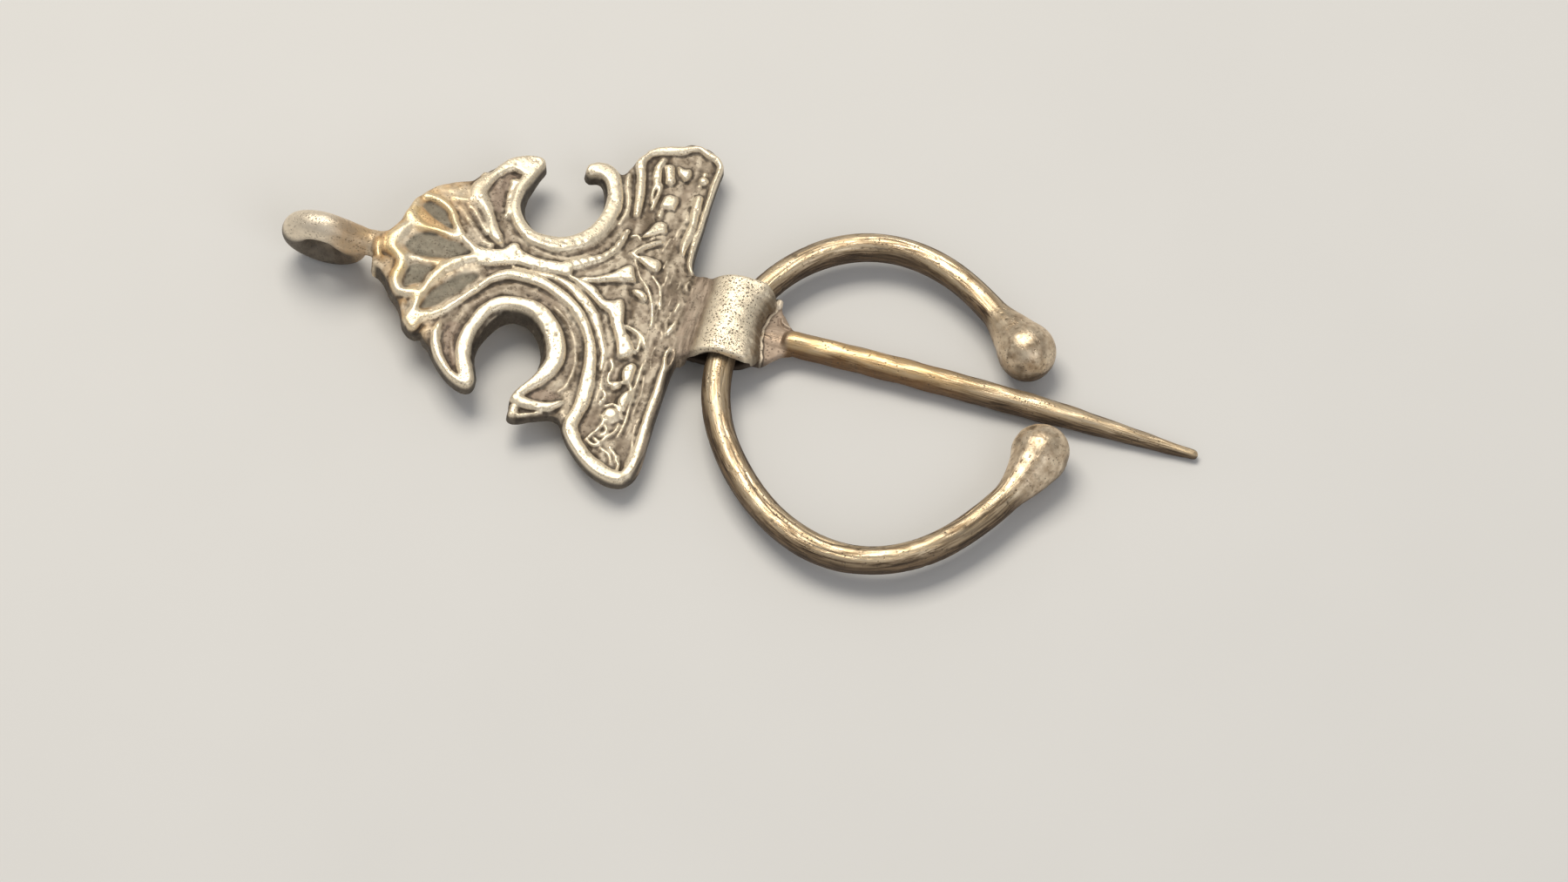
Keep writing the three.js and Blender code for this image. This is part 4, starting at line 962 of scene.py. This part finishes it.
# ------------------------------------------------------------------ materials
class Tree:
    """A few words for building node trees."""

    def __init__(self, name):
        self.mat = bpy.data.materials.new(name)
        self.mat.use_nodes = True
        self.t = self.mat.node_tree
        self.t.nodes.clear()
        self.out = self.t.nodes.new("ShaderNodeOutputMaterial")
        self.bsdf = self.t.nodes.new("ShaderNodeBsdfPrincipled")
        self.t.links.new(self.bsdf.outputs[0], self.out.inputs[0])
        self.x = -300
        self.tc = self.node("ShaderNodeTexCoord")
        self.mm = self.vmath("SCALE", self.tc.outputs["Object"], scale=1000.0)

    def node(self, kind, **props):
        n = self.t.nodes.new(kind)
        n.location = (self.x, 0)
        self.x -= 40
        for k, v in props.items():
            setattr(n, k, v)
        return n

    def put(self, socket, v):
        if hasattr(v, "is_linked") or hasattr(v, "links"):
            self.t.links.new(v, socket)
        elif isinstance(v, (tuple, list)) and len(v) == 3 and socket.type == "RGBA":
            socket.default_value = (*v, 1.0)
        else:
            socket.default_value = v

    def vmath(self, op, a, b=None, scale=None):
        n = self.node("ShaderNodeVectorMath", operation=op)
        self.put(n.inputs[0], a)
        if b is not None:
            self.put(n.inputs[1], b)
        if scale is not None:
            self.put(n.inputs["Scale"], scale)
        return n.outputs[0]

    def math(self, op, a, b=0.0, c=None, clamp=False):
        n = self.node("ShaderNodeMath", operation=op, use_clamp=clamp)
        self.put(n.inputs[0], a)
        self.put(n.inputs[1], b)
        if c is not None:
            self.put(n.inputs[2], c)
        return n.outputs[0]

    def attr(self, name):
        return self.node("ShaderNodeAttribute", attribute_name=name).outputs["Fac"]

    def noise(self, scale, detail=4.0, rough=0.55, vec=None, w=None, distort=0.0):
        n = self.node("ShaderNodeTexNoise")
        if w is not None:
            n.noise_dimensions = "4D"
            n.inputs["W"].default_value = w
        self.put(n.inputs["Vector"], self.mm if vec is None else vec)
        n.inputs["Scale"].default_value = scale
        n.inputs["Detail"].default_value = detail
        n.inputs["Roughness"].default_value = rough
        n.inputs["Distortion"].default_value = distort
        return n.outputs["Fac"]

    def voronoi(self, scale, vec=None, feature="F1", rand=1.0):
        n = self.node("ShaderNodeTexVoronoi", feature=feature)
        self.put(n.inputs["Vector"], self.mm if vec is None else vec)
        n.inputs["Scale"].default_value = scale
        n.inputs["Randomness"].default_value = rand
        return n

    def span(self, v, a, b, c=0.0, d=1.0, smooth=False):
        n = self.node("ShaderNodeMapRange")
        n.interpolation_type = "SMOOTHSTEP" if smooth else "LINEAR"
        self.put(n.inputs["Value"], v)
        for k, val in zip(("From Min", "From Max", "To Min", "To Max"), (a, b, c, d)):
            n.inputs[k].default_value = val
        return n.outputs["Result"]

    def mix(self, f, a, b, blend="MIX"):
        n = self.node("ShaderNodeMix", data_type="RGBA", blend_type=blend)
        self.put(n.inputs[0], f)
        self.put(n.inputs[6], a)
        self.put(n.inputs[7], b)
        return n.outputs[2]

    def mixf(self, f, a, b):
        n = self.node("ShaderNodeMix", data_type="FLOAT")
        self.put(n.inputs[0], f)
        self.put(n.inputs[2], a)
        self.put(n.inputs[3], b)
        return n.outputs[0]

    def join(self, x, y, z):
        n = self.node("ShaderNodeCombineXYZ")
        for s, v in zip(n.inputs, (x, y, z)):
            self.put(s, v)
        return n.outputs[0]

    def bump(self, height, strength, distance, normal=None):
        n = self.node("ShaderNodeBump")
        self.put(n.inputs["Strength"], strength)
        n.inputs["Distance"].default_value = distance
        self.put(n.inputs["Height"], height)
        if normal is not None:
            self.put(n.inputs["Normal"], normal)
        return n.outputs["Normal"]

    def pointiness(self):
        return self.node("ShaderNodeNewGeometry").outputs["Pointiness"]


CREAM = (1.0, 0.875, 0.665)
SILVER = (0.82, 0.70, 0.52)
BEIGE = (0.46, 0.375, 0.275)
DUST = (0.20, 0.160, 0.115)
# the next colour is painted shade in the grooves, with some dirt
CREASE_SHADE_AND_DIRT = (0.035, 0.024, 0.015)
GOLD = (0.85, 0.55, 0.22)
ROSE = (0.46, 0.35, 0.26)
MOSS = (0.235, 0.225, 0.165)


def plate_material():
    m = Tree("cast_silver")
    crest_a, cav_a, rel = m.attr("crest"), m.attr("cavity"), m.attr("relief")
    px, py, pz, petal = m.attr("px"), m.attr("py"), m.attr("pz"), m.attr("petal")
    n_big, n_mid, n_fine = m.noise(0.45, 3), m.noise(1.9, 5, 0.6), m.noise(7.0, 5, 0.65)
    # worn metal on ridges, tarnish and dirt in the recesses
    worn = m.math("ADD", crest_a, m.math("MULTIPLY", m.math("SUBTRACT", n_mid, 0.5), 0.55))
    worn = m.span(worn, 0.30, 0.66, smooth=True)
    fleck = m.attr("fleck")
    field = m.mix(m.span(fleck, -0.55, 0.15), (0.19, 0.142, 0.092), BEIGE)
    field = m.mix(m.span(fleck, 0.12, 0.5), field, (0.70, 0.60, 0.455))
    field = m.mix(m.math("MULTIPLY", m.span(n_big, 0.45, 0.7), 0.35), field, ROSE)
    crestc = m.mix(m.span(n_fine, 0.35, 0.6), SILVER, CREAM)
    c = m.mix(worn, field, crestc)
    # everything that isn't relief: loop, neck, strap, walls, back
    point = m.pointiness()
    plain = m.mix(m.span(n_mid, 0.3, 0.7), BEIGE, SILVER)
    plain = m.mix(m.span(point, 0.50, 0.56), plain, CREAM)
    c = m.mix(rel, plain, c)
    strap = m.math("MULTIPLY", m.span(px, 28.0, 28.7, smooth=True), m.span(px, 31.6, 31.0, smooth=True))
    c = m.mix(m.math("MULTIPLY", strap, 0.75), c, CREAM)
    root = m.math("MULTIPLY", m.span(px, 26.6, 27.0, smooth=True), m.span(px, 28.4, 27.8, smooth=True))
    c = m.mix(m.math("MULTIPLY", root, 0.75), c, m.mix(m.span(m.noise(1.6, 4, 0.6, vec=m.vmath("MULTIPLY", m.mm, (2.4, 0.35, 1.0))), 0.38, 0.62), (0.145, 0.10, 0.064), ROSE))
    # painted shade on the strap's right flank
    c = m.mix(m.math("MULTIPLY", m.attr("flank_shade"), m.span(n_mid, 0.25, 0.65, 0.62, 0.95)), c, (0.20, 0.15, 0.095))
    # painted highlight along the strap's end edge
    c = m.mix(m.attr("seam"), c, (0.95, 0.80, 0.60))
    c = m.mix(m.math("MULTIPLY", m.span(px, 4.6, 3.2, smooth=True), m.span(n_mid, 0.3, 0.6, 0.55, 0.9)), c, (0.92, 0.80, 0.63))
    brown = m.math("MULTIPLY", m.span(px, 3.0, 4.4, smooth=True), m.span(px, 6.4, 5.6, smooth=True))
    c = m.mix(m.math("MULTIPLY", brown, m.span(n_mid, 0.3, 0.65, 0.35, 0.75)), c, (0.52, 0.33, 0.17))
    # some recesses keep a rosy brown
    c = m.mix(m.math("MULTIPLY", m.math("MULTIPLY", m.attr("rosy"), m.math("SUBTRACT", 1.0, worn)), 0.7), c, (0.36, 0.265, 0.20))
    # petals keep a green-grey dirt
    c = m.mix(m.math("MULTIPLY", petal, m.span(n_mid, 0.2, 0.7, 0.65, 1.0)), c, m.mix(n_fine, MOSS, DUST))
    # warm tint towards the loop
    warm = m.math("MULTIPLY", m.span(px, 3.4, 5.2, smooth=True), m.span(px, 12.6, 9.0, smooth=True))
    warm = m.math("MULTIPLY", warm, m.span(n_big, 0.33, 0.62, smooth=True))
    warm = m.math("MULTIPLY", warm, m.math("SUBTRACT", 1.0, petal))
    c = m.mix(m.math("MULTIPLY", warm, 0.25), c, GOLD)
    edge = m.math("MULTIPLY", m.span(crest_a, 0.05, 0.25, smooth=True), m.span(crest_a, 0.85, 0.5, smooth=True))
    c = m.mix(m.math("MULTIPLY", m.math("MULTIPLY", edge, warm), 0.6), c, (0.60, 0.34, 0.13))
    c = m.mix(m.math("MULTIPLY", m.math("MULTIPLY", warm, worn), 0.55), c, (0.95, 0.68, 0.30))
    # dark lines in the grooves: painted shade in the creases, with some dirt
    dark = m.span(cav_a, 0.012, 0.085, smooth=True)
    dark = m.math("MULTIPLY", dark, m.span(n_mid, 0.25, 0.6, 0.55, 1.0))
    dark = m.math("MULTIPLY", dark, rel)
    c = m.mix(m.math("MULTIPLY", dark, 0.82), c, CREASE_SHADE_AND_DIRT)
    # pits
    vor = m.voronoi(4.6, rand=1.0)
    pit = m.span(vor.outputs["Distance"], 0.18, 0.34, 1.0, 0.0, smooth=True)
    keep = m.span(m.noise(1.1, 2, 0.5, w=3.0), 0.47, 0.58, smooth=True)
    keep = m.math("MULTIPLY", keep, 0.6)
    pits = m.math("MULTIPLY", pit, m.math("MAXIMUM", keep, strap))
    vor2 = m.voronoi(7.5, vec=m.vmath("MULTIPLY", m.mm, (0.75, 1.25, 1.0)), rand=1.0)
    pit2 = m.math("MULTIPLY", m.span(vor2.outputs["Distance"], 0.14, 0.30, 1.0, 0.0, smooth=True), m.math("MAXIMUM", m.math("MULTIPLY", strap, 0.8), m.span(m.noise(2.3, 2, 0.5, w=7.0), 0.45, 0.6, smooth=True)))
    pits = m.math("MAXIMUM", pits, m.math("MULTIPLY", pit2, 0.8))
    c = m.mix(m.math("MULTIPLY", pits, 0.75), c, (0.12, 0.09, 0.06))
    # painted shade: the lower walls are darkened nearly to black, standing in for their shadow and the dark reflection
    # they get
    wall = m.math("MULTIPLY", m.span(m.attr("wall"), 0.25, 0.75, smooth=True), m.span(m.attr("depth"), 0.10, 0.65, 0.0, 1.0, smooth=True))
    wall = m.math("MULTIPLY", wall, m.span(n_mid, 0.25, 0.6, 0.8, 1.0))
    c = m.mix(m.math("MULTIPLY", wall, 0.95), c, (0.030, 0.020, 0.012))
    # painted shade on the loop's lower half and inside the bore
    shade = m.math("MULTIPLY", m.attr("shade"), m.span(n_mid, 0.2, 0.6, 0.85, 1.0))
    c = m.mix(m.math("MULTIPLY", shade, 0.92), c, (0.050, 0.035, 0.022))
    m.put(m.bsdf.inputs["Base Color"], c)
    # less metal where there is tarnish and dirt in the recesses, and where shade is painted
    tarnish_and_shade = m.math("MAXIMUM", m.math("MULTIPLY", m.math("SUBTRACT", 1.0, worn), rel), m.math("MAXIMUM", dark, petal))
    tarnish_and_shade = m.math("MAXIMUM", tarnish_and_shade, m.math("MAXIMUM", wall, shade))
    m.put(m.bsdf.inputs["Metallic"], m.span(tarnish_and_shade, 0.0, 1.0, 0.66, 0.15))
    r = m.mixf(tarnish_and_shade, m.span(n_fine, 0.3, 0.7, 0.30, 0.42), m.span(n_fine, 0.3, 0.7, 0.50, 0.68))
    m.put(m.bsdf.inputs["Roughness"], m.math("ADD", r, m.math("MULTIPLY", pits, 0.15), clamp=True))
    h = m.math("ADD", m.math("MULTIPLY", n_fine, 0.5), m.math("MULTIPLY", m.noise(18.0, 4, 0.6), 0.28))
    h = m.math("SUBTRACT", h, m.math("MULTIPLY", pits, 0.9))
    m.put(m.bsdf.inputs["Normal"], m.bump(h, m.mixf(worn, 0.85, 0.45), 0.00006))
    return m.mat


def wire_material(name, gold_from, gold_to, ball):
    m = Tree(name)
    along, ca, sa = m.attr("along"), m.attr("ca"), m.attr("sa")
    v = m.join(m.math("MULTIPLY", along, 0.22), m.math("MULTIPLY", ca, 2.4), m.math("MULTIPLY", sa, 2.4))
    streak = m.noise(1.0, 6, 0.62, vec=v, distort=0.3)
    v2 = m.join(m.math("MULTIPLY", along, 0.7), m.math("MULTIPLY", ca, 7.0), m.math("MULTIPLY", sa, 7.0))
    fine = m.noise(1.0, 5, 0.6, vec=v2)
    n_mid = m.noise(1.6, 5, 0.6)
    # painted shade: the wire is coloured darker brown on its lower sides, by the angle around it, and near black
    # underneath, leaving a lit band along the top
    low = m.span(m.math("ADD", sa, m.math("MULTIPLY", m.math("SUBTRACT", streak, 0.5), 0.8)), 1.0, 0.42, smooth=True)
    base = m.mix(m.span(streak, 0.36, 0.60), (0.43, 0.295, 0.165), (0.77, 0.60, 0.385))
    base = m.mix(m.span(fine, 0.45, 0.66), base, (0.84, 0.70, 0.50))
    base = m.mix(m.math("MULTIPLY", low, 0.92), base, m.mix(m.span(fine, 0.35, 0.65), (0.045, 0.025, 0.011), (0.20, 0.122, 0.058)))
    deep = m.span(m.math("ADD", sa, m.math("MULTIPLY", m.math("SUBTRACT", streak, 0.5), 0.7)), 0.5, -0.1, smooth=True)
    base = m.mix(m.math("MULTIPLY", deep, 0.85), base, m.mix(m.span(fine, 0.4, 0.65), (0.035, 0.020, 0.010), (0.15, 0.09, 0.045)))
    # dark streaks along the wire, stronger on the shaded lower sides
    dk = m.math("MULTIPLY", m.span(streak, 0.52, 0.42, smooth=True), m.span(low, 0.0, 1.0, 0.25, 1.0))
    dk = m.math("MULTIPLY", dk, m.span(fine, 0.62, 0.40, smooth=True))
    base = m.mix(m.math("MULTIPLY", dk, 0.9), base, (0.045, 0.026, 0.012))
    # golden tone near the strap, lighter on top and darker on the shaded sides
    g = m.math("MULTIPLY", m.span(along, gold_from, gold_to, 1.0, 0.0, smooth=True), 0.55)
    base = m.mix(m.math("MULTIPLY", g, m.span(n_mid, 0.3, 0.6, 0.5, 1.0)), base, m.mix(low, (0.86, 0.56, 0.24), (0.24, 0.115, 0.035)))
    vor = m.voronoi(4.2)
    pit = m.math("MULTIPLY", m.span(vor.outputs["Distance"], 0.14, 0.30, 1.0, 0.0, smooth=True), m.span(m.noise(1.3, 2, 0.5, w=2.0), 0.46, 0.58, smooth=True))
    if ball:
        b = m.attr("ball")
        bc = m.mix(m.span(n_mid, 0.35, 0.65), (0.56, 0.42, 0.275), (0.88, 0.73, 0.53))
        bc = m.mix(m.span(m.noise(2.6, 4, 0.6), 0.52, 0.70, 0.0, 0.75), bc, (0.25, 0.165, 0.095))
        # painted shade: the balls are darker on their lower sides
        bc = m.mix(m.math("MULTIPLY", m.span(sa, 0.25, -0.40, smooth=True), 0.85), bc, (0.12, 0.075, 0.04))
        base = m.mix(b, base, bc)
        dent = m.attr("dent")
        base = m.mix(m.span(dent, -0.015, -0.05, 0.0, 0.6, smooth=True), base, (0.09, 0.06, 0.035))
    else:
        f = m.attr("flat")
        fc = m.mix(m.span(n_mid, 0.3, 0.7), (0.34, 0.25, 0.18), (0.46, 0.35, 0.26))
        base = m.mix(f, base, fc)
        # painted shadow in the gap beside the strap's end, darker towards the near side
        wob = m.math("MULTIPLY", m.math("SUBTRACT", m.noise(2.6, 3, 0.6), 0.5), 0.10)
        sm = m.math("ADD", m.attr("seam"), wob)
        gap = m.math("MULTIPLY", m.span(sm, 0.04, 0.08, smooth=True), m.span(sm, 0.22, 0.14, smooth=True))
        gap = m.math("MULTIPLY", gap, m.math("MULTIPLY", f, m.span(m.attr("py"), 0.4, -0.2, 0.35, 1.0)))
        base = m.mix(m.math("MULTIPLY", gap, 0.85), base, (0.06, 0.038, 0.02))
        # painted highlight along the seam's edge
        line = m.math("MULTIPLY", m.span(sm, -0.14, -0.08, smooth=True), m.span(sm, 0.07, 0.02, smooth=True))
        base = m.mix(m.math("MULTIPLY", line, f), base, (1.0, 0.86, 0.66))
        base = m.mix(m.attr("lip"), base, (0.95, 0.82, 0.64))
        # painted shade on the foot's lower part, under the strap and inside the bore
        base = m.mix(m.math("MULTIPLY", m.math("MULTIPLY", m.attr("under"), f), 0.8), base, (0.12, 0.085, 0.055))
        base = m.mix(m.math("MULTIPLY", m.attr("shade"), 0.9), base, (0.045, 0.03, 0.018))
    base = m.mix(m.math("MULTIPLY", pit, 0.6), base, (0.07, 0.05, 0.035))
    m.put(m.bsdf.inputs["Base Color"], base)
    m.put(m.bsdf.inputs["Metallic"], m.span(m.math("MAXIMUM", dk, m.math("MULTIPLY", low, 0.9)), 0.0, 1.0, 0.85, 0.2))
    m.put(m.bsdf.inputs["Roughness"], m.math("ADD", m.span(fine, 0.3, 0.7, 0.40, 0.28), m.math("MULTIPLY", m.math("MAXIMUM", dk, m.math("MULTIPLY", low, 0.7)), 0.25), clamp=True))
    h = m.math("ADD", m.math("MULTIPLY", fine, 0.6), m.math("MULTIPLY", m.noise(9.0, 4, 0.6), 0.35))
    h = m.math("SUBTRACT", h, m.math("ADD", m.math("MULTIPLY", dk, 0.5), m.math("MULTIPLY", pit, 0.8)))
    m.put(m.bsdf.inputs["Normal"], m.bump(h, 0.6, 0.00006))
    return m.mat


for ob, mat in ((head, plate_material()), (pin, wire_material("pin_silver", 9.0, 15.0, False)), (hoop, wire_material("hoop_silver", -2.0, -1.0, True))):
    ob.data.materials.clear()
    ob.data.materials.append(mat)

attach(head, "head"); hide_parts("head_plate")
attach(pin, "head"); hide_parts("pin")
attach(hoop, "ring"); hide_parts("hoop")

# ------------------------------------------------------------------ floor, light, camera
floor_t = Tree("pale_floor")
floor_t.put(floor_t.bsdf.inputs["Base Color"], floor_t.mix(floor_t.noise(0.05, 3), (0.73, 0.72, 0.70), (0.77, 0.76, 0.74)))
floor_t.bsdf.inputs["Roughness"].default_value = 0.85
fm = bpy.data.meshes.new("floor")
fm.from_pydata([(-1.5, -1.5, 0), (1.5, -1.5, 0), (1.5, 1.5, 0), (-1.5, 1.5, 0)], [], [(0, 1, 2, 3)])
floor = bpy.data.objects.new("floor", fm)
floor.location = (0, 0, -0.00001)
fm.materials.append(floor_t.mat)
bpy.context.scene.collection.objects.link(floor)

world = bpy.data.worlds.new("studio")
bpy.context.scene.world = world
world.use_nodes = True
wt = world.node_tree
wt.nodes["Background"].inputs[0].default_value = (0.86, 0.86, 0.87, 1)
wt.nodes["Background"].inputs[1].default_value = 0.38


def area(name, at, aim, size, watts, colour):
    li = bpy.data.lights.new(name, "AREA")
    li.shape = "RECTANGLE"
    li.size, li.size_y = size
    li.energy = watts
    li.color = colour
    ob = bpy.data.objects.new(name, li)
    bpy.context.scene.collection.objects.link(ob)
    ob.location = at
    from mathutils import Vector
    ob.rotation_euler = (Vector(aim) - Vector(at)).to_track_quat("-Z", "Y").to_euler()
    return ob


area("key", (-0.14, 0.16, 0.455), (0, 0, 0), (0.32, 0.26), 1.75, (1.0, 0.945, 0.84))
area("fill", (0.40, -0.34, 0.38), (0, 0, 0), (0.4, 0.4), 0.7, (0.92, 0.95, 1.0))
bpy.context.scene.view_settings.view_transform = "Standard"

AZ, EL, DIST = math.radians(14.8), math.radians(57.0), 0.40444
TARGET = (0.004608, -0.005084, -0.00002)
cam_data = bpy.data.cameras.new("camera")
cam_data.lens = 145.6
cam_data.sensor_width = 36.0
cam_data.clip_start, cam_data.clip_end = 0.01, 10
cam = bpy.data.objects.new("camera", cam_data)
bpy.context.scene.collection.objects.link(cam)
from mathutils import Vector
back = Vector((math.sin(AZ) * math.cos(EL), -math.cos(AZ) * math.cos(EL), math.sin(EL)))
cam.location = Vector(TARGET) + DIST * back
cam.rotation_euler = (-back).to_track_quat("-Z", "Y").to_euler()
bpy.context.scene.camera = cam
